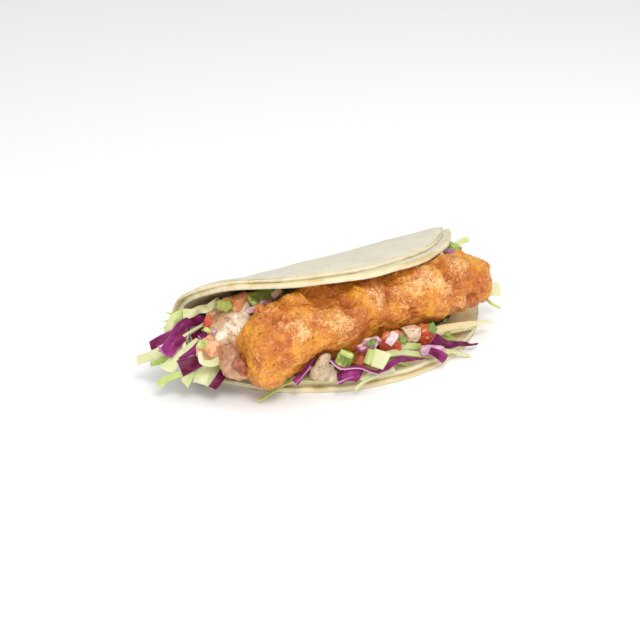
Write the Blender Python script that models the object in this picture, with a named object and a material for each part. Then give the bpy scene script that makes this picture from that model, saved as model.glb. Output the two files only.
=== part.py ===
"""A fried fish taco, folded and lying on its side on the lower flap.

Two soft tortillas are stacked and folded over as one. Inside lie a bed of shredded cabbage, a stick of
battered fish, thick sauce, and diced tomato, chilli, onion and cabbage. Metres, +Z up: the fold runs along
X at the back, and the mouth opens towards -Y. Run it with: blender --background --python part.py
"""

import math
import random

import bmesh
import bpy
import numpy as np
from mathutils import Matrix, Vector

# Where the fold's own frame stands, so that the whole taco's box is centred on the origin.
FOLD_PLACE = (0.0094, 0.0375, 0.0)

# The tortillas. u runs along the fold, s runs round it from the lower flap to the upper one.
HALF_WIDTH = 0.075
THICKNESS = 0.0022
GAP = 0.0003
OUTER_CENTRE = (0.0005, -0.0008)
OUTER_HALF_LENGTH = 0.0769
INNER_CENTRE = (0.0028, 0.0020)
INNER_HALF_LENGTH = 0.0785
RIM_SEGMENTS = 64
RIM_BEVEL = 0.0007
RIM_MERGE = 0.0014
# The rounds are out of true here: the direction in degrees, how far it spreads, how much it adds.
BULGE = (217, 24, 0.04)
LINING = 2 * (THICKNESS + GAP)

# The fold's section. Each pair is the value at the middle and its change over HALF_WIDTH along +X.
BEND_RADIUS = 0.0211
MOUTH_ANGLE = (24.4, -13.1)
BEND_MIDDLE = (0.0036, 0.0114)
FLAP_DROOP = (13.6, -6.9)
DROOP_LENGTH = 0.050
ARC_REACH = 0.115
ARC_STEP = 0.001
# The upper flap's slow waves start this far round the fold and are full after so much more: their
# height, then each one's length, phase and share; the second one's phase also shifts round the fold.
WAVE_START = (0.015, 0.045)
WAVE_HEIGHT = 0.0006
WAVES = ((0.0140, 1.46, 1.0), (0.0075, 0.19, 0.7))
WAVE_SLANT = 0.025
# The upper flap sags here: where along the fold, how far it spreads, how deep.
SAG = (-0.0364, 0.0160, 0.0024)

# The fish: its two ends' middles, its girths, and the lumps of its batter.
FISH_LEFT = Vector((-0.0617, -0.0625, 0.0200))
FISH_RIGHT = Vector((0.0625, -0.0470, 0.0243))
FISH_BOW = Vector((0.0, 0.0036, 0.0012))
FISH_RADIUS = 0.0145
FISH_LEFT_SWELL = 0.0031
FISH_UNDERSIDE = 0.0063
FISH_RINGS = 32
FISH_SIDES = 28
FISH_RIPPLE = 0.0005
# Along (-1 to 1), degrees round from the front over the top, height, spread.
FISH_LUMPS = (
    (-0.88, -50, 0.0042, 0.0078),
    (-0.84, 100, 0.0034, 0.0056),
    (-0.66, 62, 0.0018, 0.0072),
    (-0.60, 30, -0.0023, 0.0040),
    (-0.55, -38, -0.0046, 0.0088),
    (-0.46, 108, 0.0026, 0.0056),
    (-0.40, 14, 0.0018, 0.0068),
    (-0.28, 60, -0.0018, 0.0048),
    (-0.14, 35, 0.0022, 0.0080),
    (-0.04, -20, -0.0023, 0.0064),
    (0.08, 78, -0.0026, 0.0048),
    (0.26, 72, 0.0023, 0.0064),
    (0.34, 5, 0.0020, 0.0064),
    (0.48, 45, -0.0023, 0.0044),
    (0.60, -5, 0.0025, 0.0052),
    (0.72, 62, 0.0022, 0.0048),
    (0.80, 25, -0.0021, 0.0040),
    (0.92, -10, 0.0026, 0.0052),
    (0.30, 170, 0.0023, 0.0096),
    (-0.40, 190, 0.0021, 0.0096),
)

# The bed of shredded cabbage: at each place along X, its front edge and where it stops round the fold.
BED_STATIONS = (
    (-0.0965, -0.0330, -0.0180),
    (-0.0930, -0.0440, -0.0080),
    (-0.0850, -0.0550, 0.0060),
    (-0.0740, -0.0605, 0.0160),
    (-0.0600, -0.0590, 0.0220),
    (-0.0450, -0.0610, 0.0260),
    (-0.0250, -0.0730, 0.0290),
    (0.0100, -0.0755, 0.0320),
    (0.0300, -0.0690, 0.0340),
    (0.0500, -0.0590, 0.0340),
    (0.0660, -0.0500, 0.0300),
    (0.0730, -0.0400, 0.0160),
)
BED_COLUMNS = 30
BED_ROUND = 12
BED_TOP_ROWS = 9
BED_EDGE_HEIGHT = 0.0012
BED_RISE = 1.15
BED_SWELL = 0.0015
BED_CLEARANCE = 0.0004
BED_LUMPINESS = 0.0007

# Sauce: centre, half sizes, tilt about X in degrees.
SAUCES = {
    "sauce_left": ((-0.0655, -0.0490, 0.0200), (0.0080, 0.0195, 0.0068), 34),
    "sauce_front": ((-0.0310, -0.0712, 0.0118), (0.0068, 0.0042, 0.0062), 0),
}

# Diced toppings: centre, size, turn about X, Y and Z in degrees.
TOMATO = {
    "tomato_top": ((-0.0550, -0.0370, 0.0318), (0.0120, 0.0090, 0.0056), (-4, -4, 20)),
    "tomato_wedge": ((-0.0680, -0.0388, 0.0266), (0.0070, 0.0070, 0.0058), (30, 20, -25)),
    "tomato_low": ((-0.0716, -0.0510, 0.0194), (0.0100, 0.0085, 0.0080), (20, -15, 30)),
    "tomato_front_a": ((-0.0114, -0.0686, 0.0108), (0.0080, 0.0056, 0.0054), (0, 8, 12)),
    "tomato_front_b": ((0.0022, -0.0688, 0.0150), (0.0090, 0.0066, 0.0078), (16, 10, -28)),
    "tomato_front_c": ((0.0212, -0.0654, 0.0124), (0.0060, 0.0070, 0.0086), (10, -6, -12)),
}
CHILLI = {
    "chilli_top": ((-0.0446, -0.0415, 0.0344), (0.0110, 0.0052, 0.0040), (12, -3, 14)),
    "chilli_front": ((-0.0218, -0.0728, 0.0140), (0.0080, 0.0066, 0.0072), (24, 10, 30)),
    "chilli_right": ((0.0586, -0.0292, 0.0304), (0.0066, 0.0058, 0.0046), (-10, 20, -30)),
}
ONION = {
    "onion_front": ((-0.0102, -0.0712, 0.0176), (0.0124, 0.0058, 0.0034), (42, -12, 12)),
    "onion_coated": ((0.0124, -0.0674, 0.0158), (0.0086, 0.0056, 0.0080), (22, -8, 6)),
    "onion_right": ((0.0196, -0.0736, 0.0090), (0.0090, 0.0048, 0.0030), (20, 8, -24)),
}
CABBAGE = {
    "cabbage_front": ((-0.0060, -0.0756, 0.0106), (0.0108, 0.0040, 0.0084), (-24, 18, -12)),
    "cabbage_purple": ((-0.0214, -0.0786, 0.0088), (0.0092, 0.0050, 0.0060), (-14, -16, 18)),
}
DICE_BEVEL = 0.0009
DICE_UNEVEN = 0.09
DICE_CLEARANCE = 0.0005

# Colours, roughness.
COLOURS = {
    "tortilla": ((0.80, 0.71, 0.50), 0.75),
    "fish": ((0.76, 0.33, 0.06), 0.55),
    "bed": ((0.56, 0.66, 0.30), 0.45),
    "sauce": ((0.80, 0.58, 0.40), 0.30),
    "tomato": ((0.78, 0.13, 0.05), 0.28),
    "chilli": ((0.20, 0.33, 0.06), 0.35),
    "onion": ((0.70, 0.42, 0.52), 0.35),
    "cabbage": ((0.72, 0.80, 0.46), 0.40),
    "cabbage_purple": ((0.22, 0.02, 0.16), 0.35),
}


def clear_scene():
    for item in list(bpy.data.objects):
        bpy.data.objects.remove(item, do_unlink=True)


def smooth_step(value):
    value = min(max(value, 0.0), 1.0)
    return value * value * (3.0 - 2.0 * value)


def finish_of(slot):
    """The slot's material, made once."""
    found = bpy.data.materials.get(slot)
    if found:
        return found
    colour, roughness = COLOURS[slot]
    material = bpy.data.materials.new(slot)
    material.use_nodes = True
    shader = material.node_tree.nodes["Principled BSDF"]
    shader.inputs["Base Color"].default_value = (*colour, 1.0)
    shader.inputs["Roughness"].default_value = roughness
    shader.inputs["Metallic"].default_value = 0.0
    material.diffuse_color = (*colour, 1.0)
    return material


def add_object(name, bm, slot, parent):
    """The bmesh as a smooth-shaded object in the taco's own frame."""
    bmesh.ops.recalc_face_normals(bm, faces=bm.faces)
    if bm.calc_volume(signed=True) < 0:
        bmesh.ops.reverse_faces(bm, faces=bm.faces)
    for face in bm.faces:
        face.smooth = True
    mesh = bpy.data.meshes.new(name)
    bm.to_mesh(mesh)
    bm.free()
    made = bpy.data.objects.new(name, mesh)
    made.parent = parent
    if slot:
        made.data.materials.append(finish_of(slot))
    bpy.context.collection.objects.link(made)
    return made


# The fold


def fold_section(u):
    """Arc lengths, Y, Z and direction of the fold's outer face at u, by summing small straight steps."""
    along = u / HALF_WIDTH
    turn = math.radians(180.0 - MOUTH_ANGLE[0] - MOUTH_ANGLE[1] * along)
    middle = BEND_MIDDLE[0] + BEND_MIDDLE[1] * along
    reach = 1.35 * BEND_RADIUS * turn / 2
    droop = math.radians(FLAP_DROOP[0] + FLAP_DROOP[1] * along)
    arc = np.arange(-ARC_REACH, ARC_REACH + ARC_STEP, ARC_STEP)
    across = np.clip((arc - middle) / reach, -1.0, 1.0)
    heading = turn / 2 * (1.0 + across + np.sin(np.pi * across) / np.pi)
    heading += droop * np.clip((arc - middle - 0.6 * reach) / DROOP_LENGTH, 0.0, None)
    step = (heading[1:] + heading[:-1]) / 2
    y = -ARC_REACH + np.concatenate([[0.0], np.cumsum(np.cos(step) * ARC_STEP)])
    z = np.concatenate([[0.0], np.cumsum(np.sin(step) * ARC_STEP)])
    return arc, y, z, heading


def flap_wave(u, s):
    """Slow waves of the upper flap, and its sag; none where the sheets lie flat."""
    start, rise = WAVE_START
    lift = smooth_step((s - start) / rise)
    (length, phase, share), (short_length, short_phase, short_share) = WAVES
    wave = share * math.sin(u / length + phase)
    wave += short_share * math.sin(u / short_length + s / WAVE_SLANT + short_phase)
    place, spread, depth = SAG
    return lift * (WAVE_HEIGHT * wave + depth * math.exp(-(((u - place) / spread) ** 2)))


def fold_point(u, s, depth):
    """Where the sheet's point (u, s), this far in from the outer face, lies once folded."""
    arc, y, z, heading = fold_section(u)
    turn = float(np.interp(s, arc, heading))
    depth += flap_wave(u, s)
    return Vector(
        (
            u,
            float(np.interp(s, arc, y)) - depth * math.sin(turn),
            float(np.interp(s, arc, z)) + depth * math.cos(turn),
        )
    )


def cut_lines(low, high, step):
    count = round((high - low) / step)
    return [low + (high - low) * i / count for i in range(count + 1)]


def tortilla(name, centre, half_length, depth, parent):
    """A flat oval sheet with a rounded rim, cut across where it bends, and then folded."""
    bm = bmesh.new()
    bmesh.ops.create_circle(bm, cap_ends=True, segments=RIM_SEGMENTS, radius=1.0)
    direction, spread, more = BULGE
    for vertex in bm.verts:
        turn = (math.degrees(math.atan2(vertex.co.y, vertex.co.x)) - direction + 180) % 360 - 180
        vertex.co *= 1 + more * math.exp(-((turn / spread) ** 2))
    bmesh.ops.scale(bm, vec=(HALF_WIDTH, half_length, 1.0), verts=bm.verts)
    bmesh.ops.translate(bm, vec=(*centre, 0.0), verts=bm.verts)
    rows = cut_lines(-0.042, 0.048, 0.0050) + [0.058, 0.068]
    for s in rows:
        everything = bm.verts[:] + bm.edges[:] + bm.faces[:]
        bmesh.ops.bisect_plane(bm, geom=everything, plane_co=(0, s, 0), plane_no=(0, 1, 0), dist=1e-5)
    for u in cut_lines(-0.060, 0.060, 0.0100):
        everything = bm.verts[:] + bm.edges[:] + bm.faces[:]
        bmesh.ops.bisect_plane(bm, geom=everything, plane_co=(u, 0, 0), plane_no=(1, 0, 0), dist=1e-5)
    bmesh.ops.remove_doubles(bm, verts=bm.verts, dist=RIM_MERGE)
    bmesh.ops.solidify(bm, geom=bm.faces[:], thickness=THICKNESS)
    lowest = min(vertex.co.z for vertex in bm.verts)
    bmesh.ops.translate(bm, vec=(0, 0, depth - lowest), verts=bm.verts)
    bmesh.ops.recalc_face_normals(bm, faces=bm.faces)
    corners = [e for e in bm.edges if len(e.link_faces) == 2 and e.calc_face_angle() > 1.2]
    bmesh.ops.bevel(bm, geom=corners, offset=RIM_BEVEL, segments=1, profile=0.5, affect="EDGES")
    for vertex in bm.verts:
        vertex.co = fold_point(*vertex.co)
    return add_object(name, bm, "tortilla", parent)


# The fish


def fish_radius(along, angle):
    """The stick's radius at this place along it, with its blunt ends and the batter's lumps."""
    radius = FISH_RADIUS + FISH_LEFT_SWELL * smooth_step((0.05 - along) / 0.65)
    girth = radius
    for lump_along, lump_angle, height, spread in FISH_LUMPS:
        far = (along - lump_along) * (FISH_RIGHT - FISH_LEFT).length / 2
        turn = math.radians(lump_angle) - angle
        round_far = radius * math.atan2(math.sin(turn), math.cos(turn))
        girth += height * math.exp(-(far**2 + round_far**2) / spread**2)
    ripple = math.sin(17 * along + 2 * math.sin(angle)) + math.sin(29 * along + 1.7) * math.cos(3 * angle)
    return girth + FISH_RIPPLE * ripple


def fish_mesh(grow):
    """The battered stick; grow adds a clearance all over, for the space it takes up in the filling."""
    bm = bmesh.new()
    bmesh.ops.create_uvsphere(bm, u_segments=FISH_SIDES, v_segments=FISH_RINGS, radius=1.0)
    for vertex in bm.verts:
        across = math.hypot(vertex.co.x, vertex.co.y)
        angle = math.atan2(vertex.co.y, vertex.co.x)
        along = math.copysign(abs(vertex.co.z) ** 0.92, vertex.co.z)
        centre = FISH_LEFT.lerp(FISH_RIGHT, (along + 1) / 2)
        centre += FISH_BOW * (1.0 - along**2)
        centre.x += along * grow
        radius = fish_radius(along, angle) * across**0.36 + grow
        if across < 1e-4:
            radius = 0.0
        low = min(radius, centre.z - FISH_UNDERSIDE + grow)
        up = low if math.sin(angle) < 0 else radius
        vertex.co = centre + Vector((0.0, -radius * math.cos(angle), up * math.sin(angle)))
    return bm


# The bed of shredded cabbage


def bed_station(x):
    """The bed's front edge and its end round the fold at x."""
    places = [row[0] for row in BED_STATIONS]
    front = float(np.interp(x, places, [row[1] for row in BED_STATIONS]))
    crest = float(np.interp(x, places, [row[2] for row in BED_STATIONS]))
    ragged = 0.0016 * math.sin(x / 0.0031 + 1.0) + 0.0011 * math.sin(x / 0.0013)
    return front + ragged, crest


def bed_section(x):
    """Points round the bed at x: along the tortilla's lining, then back over the heap's top."""
    front, crest = bed_station(x)
    depth = LINING + BED_CLEARANCE
    lining = [fold_point(x, front + (crest - front) * i / BED_ROUND, depth) for i in range(BED_ROUND + 1)]
    for point in lining:
        point.z = max(point.z, depth)
    top = lining[-1].copy()
    edge = lining[0] + Vector((0.0, 0.0006, BED_EDGE_HEIGHT))
    points = lining
    for i in range(BED_TOP_ROWS):
        toward = (i + 0.5) / BED_TOP_ROWS
        back = 1.0 - toward
        y = edge.y * toward + top.y * back
        z = edge.z + (top.z - edge.z) * smooth_step(back * BED_RISE)
        heap = math.sin(math.pi * toward)
        bump = math.sin(x / 0.0041 + 5.0 * toward) + math.sin(x / 0.0023 - 9.0 * toward)
        points.append(Vector((x, y, z + heap * (BED_SWELL + BED_LUMPINESS * bump))))
    points.append(edge)
    return points


def bed(parent):
    """The bed, lofted along the fold."""
    low, high = BED_STATIONS[0][0], BED_STATIONS[-1][0]
    sections = []
    for i in range(BED_COLUMNS + 1):
        sections.append(bed_section(low + (high - low) * i / BED_COLUMNS))
    around = len(sections[0])
    bm = bmesh.new()
    bmesh.ops.create_grid(bm, x_segments=BED_COLUMNS, y_segments=around, size=0.5)
    for vertex in bm.verts:
        column = round((vertex.co.x + 0.5) * BED_COLUMNS)
        row = round((vertex.co.y + 0.5) * around)
        vertex.co = sections[column][row % around]
    bmesh.ops.remove_doubles(bm, verts=bm.verts, dist=1e-6)
    bmesh.ops.holes_fill(bm, edges=[e for e in bm.edges if e.is_boundary])
    bmesh.ops.triangulate(bm, faces=[f for f in bm.faces if len(f.verts) > 4])
    return add_object("slaw", bm, "bed", parent)


# Sauce and diced toppings


def sauce_mesh(centre, half_sizes, tilt, grow):
    """A rounded dollop, lumpier towards its rim."""
    bm = bmesh.new()
    bmesh.ops.create_uvsphere(bm, u_segments=18, v_segments=11, radius=1.0)
    for vertex in bm.verts:
        x, y, z = vertex.co
        lump = 1.0 + 0.07 * math.sin(4 * x + 3 * y) * math.cos(5 * y - 2 * z)
        vertex.co = Vector([c * (half * lump + grow) for c, half in zip((x, y, z), half_sizes)])
    turn = Matrix.Rotation(math.radians(tilt), 4, "X")
    bmesh.ops.transform(bm, matrix=Matrix.Translation(centre) @ turn, verts=bm.verts)
    return bm


def dice_mesh(name, size, grow):
    """A knife-cut piece: an uneven block with softened edges."""
    luck = random.Random(name)
    bm = bmesh.new()
    bmesh.ops.create_cube(bm, size=1.0)
    for vertex in bm.verts:
        pull = Vector([1.0 + luck.uniform(-DICE_UNEVEN, DICE_UNEVEN) for _ in range(3)])
        vertex.co = Vector([c * p * (s + 2 * grow) for c, p, s in zip(vertex.co, pull, size)])
    bmesh.ops.triangulate(bm, faces=bm.faces)
    flat = [e for e in bm.edges if e.calc_face_angle() < 0.35]
    bmesh.ops.dissolve_edges(bm, edges=flat, use_verts=False)
    bmesh.ops.bevel(bm, geom=bm.edges[:], offset=DICE_BEVEL, segments=1, profile=0.5, affect="EDGES")
    return bm


def dice_place(centre, turn):
    angles = [math.radians(angle) for angle in turn]
    rotation = Matrix.Rotation(angles[2], 4, "Z") @ Matrix.Rotation(angles[1], 4, "Y")
    return Matrix.Translation(centre) @ rotation @ Matrix.Rotation(angles[0], 4, "X")


def cut_space(target, name, bm, parent):
    """Takes a grown copy of a neighbour out of target, so that the two fit with a gap."""
    cutter = add_object(f"cut_{target.name}_{name}", bm, None, parent)
    cutter.hide_render = True
    cutter.display_type = "WIRE"
    boolean = target.modifiers.new(f"room_for_{name}", "BOOLEAN")
    boolean.operation = "DIFFERENCE"
    boolean.solver = "EXACT"
    boolean.object = cutter


def diced_toppings(parent, soft):
    """Every diced piece, and room for it in the soft pieces that it touches."""
    kinds = (("tomato", TOMATO), ("chilli", CHILLI), ("onion", ONION), ("cabbage", CABBAGE))
    for slot, pieces in kinds:
        for name, (centre, size, turn) in pieces.items():
            bm = dice_mesh(name, size, 0.0)
            bmesh.ops.transform(bm, matrix=dice_place(centre, turn), verts=bm.verts)
            colour = name if name in COLOURS else slot
            add_object(name, bm, colour, parent)
            for target in soft:
                room = dice_mesh(name, size, DICE_CLEARANCE)
                bmesh.ops.transform(room, matrix=dice_place(centre, turn), verts=room.verts)
                cut_space(target, name, room, parent)


def build():
    clear_scene()
    taco = bpy.data.objects.new("taco", None)
    taco.location = FOLD_PLACE
    bpy.context.collection.objects.link(taco)
    tortilla("tortilla_outer", OUTER_CENTRE, OUTER_HALF_LENGTH, 0.0, taco)
    tortilla("tortilla_inner", INNER_CENTRE, INNER_HALF_LENGTH, THICKNESS + GAP, taco)
    add_object("fish", fish_mesh(0.0), "fish", taco)
    soft = [bed(taco)]
    for name, (centre, half_sizes, tilt) in SAUCES.items():
        cut_space(soft[0], name, sauce_mesh(centre, half_sizes, tilt, GAP), taco)
        soft.append(add_object(name, sauce_mesh(centre, half_sizes, tilt, 0.0), "sauce", taco))
    for target in soft:
        cut_space(target, "fish", fish_mesh(GAP), taco)
    diced_toppings(taco, soft)


build()
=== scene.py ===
"""How the fried fish taco looks: its finish, its shreds and its small pieces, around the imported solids."""

import math
import random

import bmesh
import bpy
import numpy as np
from mathutils import Euler, Matrix, Vector, noise
from mathutils.bvhtree import BVHTree


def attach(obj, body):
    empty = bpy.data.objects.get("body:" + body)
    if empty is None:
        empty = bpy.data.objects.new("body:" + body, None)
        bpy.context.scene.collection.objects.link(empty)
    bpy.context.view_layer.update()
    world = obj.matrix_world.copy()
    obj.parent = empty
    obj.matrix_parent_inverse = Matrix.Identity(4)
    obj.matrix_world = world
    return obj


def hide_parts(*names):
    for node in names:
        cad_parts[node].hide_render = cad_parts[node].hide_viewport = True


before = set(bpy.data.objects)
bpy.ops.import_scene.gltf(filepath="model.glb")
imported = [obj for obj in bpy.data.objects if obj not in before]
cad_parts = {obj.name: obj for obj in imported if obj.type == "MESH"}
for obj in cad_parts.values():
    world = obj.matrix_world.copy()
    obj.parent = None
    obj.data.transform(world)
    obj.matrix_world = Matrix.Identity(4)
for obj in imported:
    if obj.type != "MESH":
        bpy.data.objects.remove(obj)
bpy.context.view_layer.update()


# ---- Tortillas ----------------------------------------------------------------------------------
# Two soft wheat tortillas, pressed thin and griddled, stacked and folded over together as one. They
# are pale and floury, with faint freckles browned on the griddle, and their rims show as two cream layers,
# with painted shade and painted light along the seam between them.

HALF_WIDTH = 0.075
THICKNESS = 0.00235
# Each sheet's middle on the flat, its half length, and how far in from the fold's outer face it starts.
SHEETS = {
    "tortilla_outer": ((0.0005, -0.0008), 0.0769, 0.0),
    "tortilla_inner": ((0.0028, 0.0020), 0.0785, THICKNESS),
}
# The fold's section. A pair is the value at the middle and its change over HALF_WIDTH along +X.
BEND_RADIUS = 0.0211
BEND_MIDDLE = (0.0036, 0.0114)
BEND_SPREAD = 1.35
MOUTH_ANGLE = (24.4, -13.1)
FLAP_DROOP = (13.6, -6.9)
DROOP_START = 0.6
DROOP_LENGTH = 0.050
ARC_STEP = 0.001
ALONG_STEP = 0.002
ARC = np.arange(-0.115, 0.1155, ARC_STEP)
ALONG = np.arange(-0.110, 0.0905, ALONG_STEP)
# The upper flap's waves start this far round and are full after so much more; each has its length, its
# phase and its share of the height. The flap also sags: where along the fold, how far it spreads, how deep.
WAVE_START = (0.015, 0.045)
WAVE_HEIGHT = 0.0006
LONG_WAVE = (0.0140, 1.46)
SHORT_WAVE = (0.0075, 0.19, 0.7)
WAVE_SLANT = 0.025
SAG = (-0.0364, 0.0160, 0.0024)
# A sheet's cells each way, and its rim: the bevel, the nibbled edge (its depth, its mean, how often, and
# how the two sheets' differ), and the bands near it as shares of the radius: where each starts, how wide.
SHEET_CELLS = 132
RIM_BEVEL = 0.0007
RIM_RAGGED = 0.0006
RAGGED_MEAN = 0.6
RAGGED_TURNS = 6
RAGGED_SHIFT = 900
RIM_THINNING = 0.35
THIN_BAND = (0.93, 0.07)
RIM_BAND = (0.94, 0.045)
SEAM_BAND = (0.97, 0.02)
SEAM_REACH = 0.0009
INSIDE_FROM = 1.9 * THICKNESS
# Unevenness of the faces: size and height. It fades out over the floor: from this height, over this much.
SHEET_PUFFS = (0.010, 0.00016)
SHEET_DIMPLES = (0.0022, 0.00005)
LYING = (0.0005, 0.001)
# The rounds are out of true here: the direction in degrees, how far it spreads, how much it adds.
BULGE = (217, 24, 0.04)

# The middle of the fold, from which the places of the food below are counted.
FOLD = Vector((0.0094, 0.0375, 0.0))


class Signal:
    """A value in a material, which adds its Math nodes when it is used in an expression."""

    def __init__(self, finish, socket):
        self.finish = finish
        self.socket = socket

    def math(self, operation, first, second):
        return self.finish.node("ShaderNodeMath", {"operation": operation}, {0: first, 1: second})

    def __add__(self, other):
        return self.math("ADD", self, other)

    def __sub__(self, other):
        return self.math("SUBTRACT", self, other)

    def __rsub__(self, other):
        return self.math("SUBTRACT", other, self)

    def __mul__(self, other):
        return self.math("MULTIPLY", self, other)

    __radd__ = __add__
    __rmul__ = __mul__


class Finish:
    """One material under construction, with patterns read in the object's own coordinates."""

    def __init__(self, name, place=None, **constants):
        self.material = bpy.data.materials.new(name)
        self.material.use_nodes = True
        self.tree = self.material.node_tree
        self.shader = self.tree.nodes["Principled BSDF"]
        for socket, value in constants.items():
            self.shader.inputs[socket.replace("_", " ")].default_value = value
        if place:
            self.place = self.node("ShaderNodeAttribute", {"attribute_name": place}, {}, "Vector")
        else:
            self.place = self.node("ShaderNodeTexCoord", {}, {}, "Object")

    def node(self, kind, settings, inputs, output=0):
        made = self.tree.nodes.new(kind)
        for name, value in settings.items():
            setattr(made, name, value)
        for name, value in inputs.items():
            self.feed(made.inputs[name], value)
        return Signal(self, made.outputs[output])

    def feed(self, socket, value):
        if isinstance(value, Signal):
            self.tree.links.new(value.socket, socket)
        else:
            socket.default_value = value

    def grain(self, size, detail=3.0, stretch=(1, 1, 1), warp=0.0, roughness=0.55):
        """Cloudy noise whose features are this many metres across."""
        spread = self.node("ShaderNodeMapping", {}, {"Vector": self.place, "Scale": stretch})
        inputs = {"Vector": spread, "Scale": 1 / size, "Detail": detail, "Distortion": warp}
        return self.node("ShaderNodeTexNoise", {}, {**inputs, "Roughness": roughness})

    def cells(self, size):
        """Rounded bumps this many metres across."""
        return self.node("ShaderNodeTexVoronoi", {}, {"Vector": self.place, "Scale": 1 / size}, "Distance")

    def own(self, name):
        """A value kept on the mesh, such as how high the batter stands there."""
        return self.node("ShaderNodeAttribute", {"attribute_name": name}, {}, "Fac")

    def span(self, value, start, stop, low=0.0, high=1.0):
        """Eases from low to high while the value goes from start to stop."""
        inputs = {"Value": value, 1: start, 2: stop, 3: low, 4: high}
        return self.node("ShaderNodeMapRange", {"interpolation_type": "SMOOTHSTEP"}, inputs)

    def mix(self, factor, first, second):
        """From the first colour to the second; a colour is a pattern or three numbers."""
        inputs = {0: factor, 6: first, 7: second}
        for key in (6, 7):
            if isinstance(inputs[key], tuple):
                inputs[key] = (*inputs[key], 1.0)
        return self.node("ShaderNodeMix", {"data_type": "RGBA"}, inputs, 2)

    def bump(self, height, distance, strength=1.0, under=None):
        inputs = {"Height": height, "Distance": distance, "Strength": strength}
        if under:
            inputs["Normal"] = under
        return self.node("ShaderNodeBump", {}, inputs)

    def wear(self, **sockets):
        """Puts the patterns on the shader and gives the finished material."""
        for socket, value in sockets.items():
            self.feed(self.shader.inputs[socket.replace("_", " ")], value)
        return self.material


def serve(name, bm, materials, replaced=(), smooth=True):
    """Makes the bmesh a piece of the taco that stands for the CAD nodes it replaces."""
    for face in bm.faces:
        face.smooth = smooth
    mesh = bpy.data.meshes.new(name)
    bm.to_mesh(mesh)
    bm.free()
    piece = bpy.data.objects.new(name, mesh)
    bpy.context.scene.collection.objects.link(piece)
    for material in materials:
        mesh.materials.append(material)
    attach(piece, "root")
    if replaced:
        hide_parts(*replaced)
    return piece


def ease(value):
    """From 0 to 1 with soft ends."""
    value = np.clip(value, 0.0, 1.0)
    return value * value * (3.0 - 2.0 * value)


def band(value, limits):
    """Eases from 0 to 1 from the first limit on, over the second."""
    return ease((value - limits[0]) / limits[1])


def fold_sections():
    """Y, Z and heading of the fold's outer face, for every place along it and every arc length."""
    tables = []
    for u in ALONG:
        along = u / HALF_WIDTH
        turn = math.radians(180.0 - MOUTH_ANGLE[0] - MOUTH_ANGLE[1] * along)
        middle = BEND_MIDDLE[0] + BEND_MIDDLE[1] * along
        reach = BEND_SPREAD * BEND_RADIUS * turn / 2
        droop = math.radians(FLAP_DROOP[0] + FLAP_DROOP[1] * along)
        across = np.clip((ARC - middle) / reach, -1.0, 1.0)
        heading = turn / 2 * (1.0 + across + np.sin(np.pi * across) / np.pi)
        heading += droop * np.clip((ARC - middle - DROOP_START * reach) / DROOP_LENGTH, 0.0, None)
        step = (heading[1:] + heading[:-1]) / 2
        y = ARC[0] + np.concatenate([[0.0], np.cumsum(np.cos(step) * ARC_STEP)])
        z = np.concatenate([[0.0], np.cumsum(np.sin(step) * ARC_STEP)])
        tables.append((y, z, heading))
    return np.array(tables)


SECTIONS = fold_sections()


def folded(u, s, depth):
    """Where points (u, s) of the flat sheet, this far in from its outer face, lie once folded."""
    u, s, depth = (np.asarray(value, float) for value in (u, s, depth))
    column = np.clip((u - ALONG[0]) / ALONG_STEP, 0, len(ALONG) - 1.001)
    row = np.clip((s - ARC[0]) / ARC_STEP, 0, len(ARC) - 1.001)
    i, j = column.astype(int), row.astype(int)
    a, b = column - i, row - j
    y, z, heading = (
        table[i, j] * (1 - a) * (1 - b)
        + table[i + 1, j] * a * (1 - b)
        + table[i, j + 1] * (1 - a) * b
        + table[i + 1, j + 1] * a * b
        for table in (SECTIONS[:, 0], SECTIONS[:, 1], SECTIONS[:, 2])
    )
    ripple = np.sin(u / SHORT_WAVE[0] + s / WAVE_SLANT + SHORT_WAVE[1])
    wave = np.sin(u / LONG_WAVE[0] + LONG_WAVE[1]) + SHORT_WAVE[2] * ripple
    sag = np.exp(-(((u - SAG[0]) / SAG[1]) ** 2))
    depth = depth + band(s, WAVE_START) * (WAVE_HEIGHT * wave + SAG[2] * sag)
    places = np.stack([u, y - depth * np.sin(heading), z + depth * np.cos(heading)], -1)
    return places + np.array(FOLD)


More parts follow.
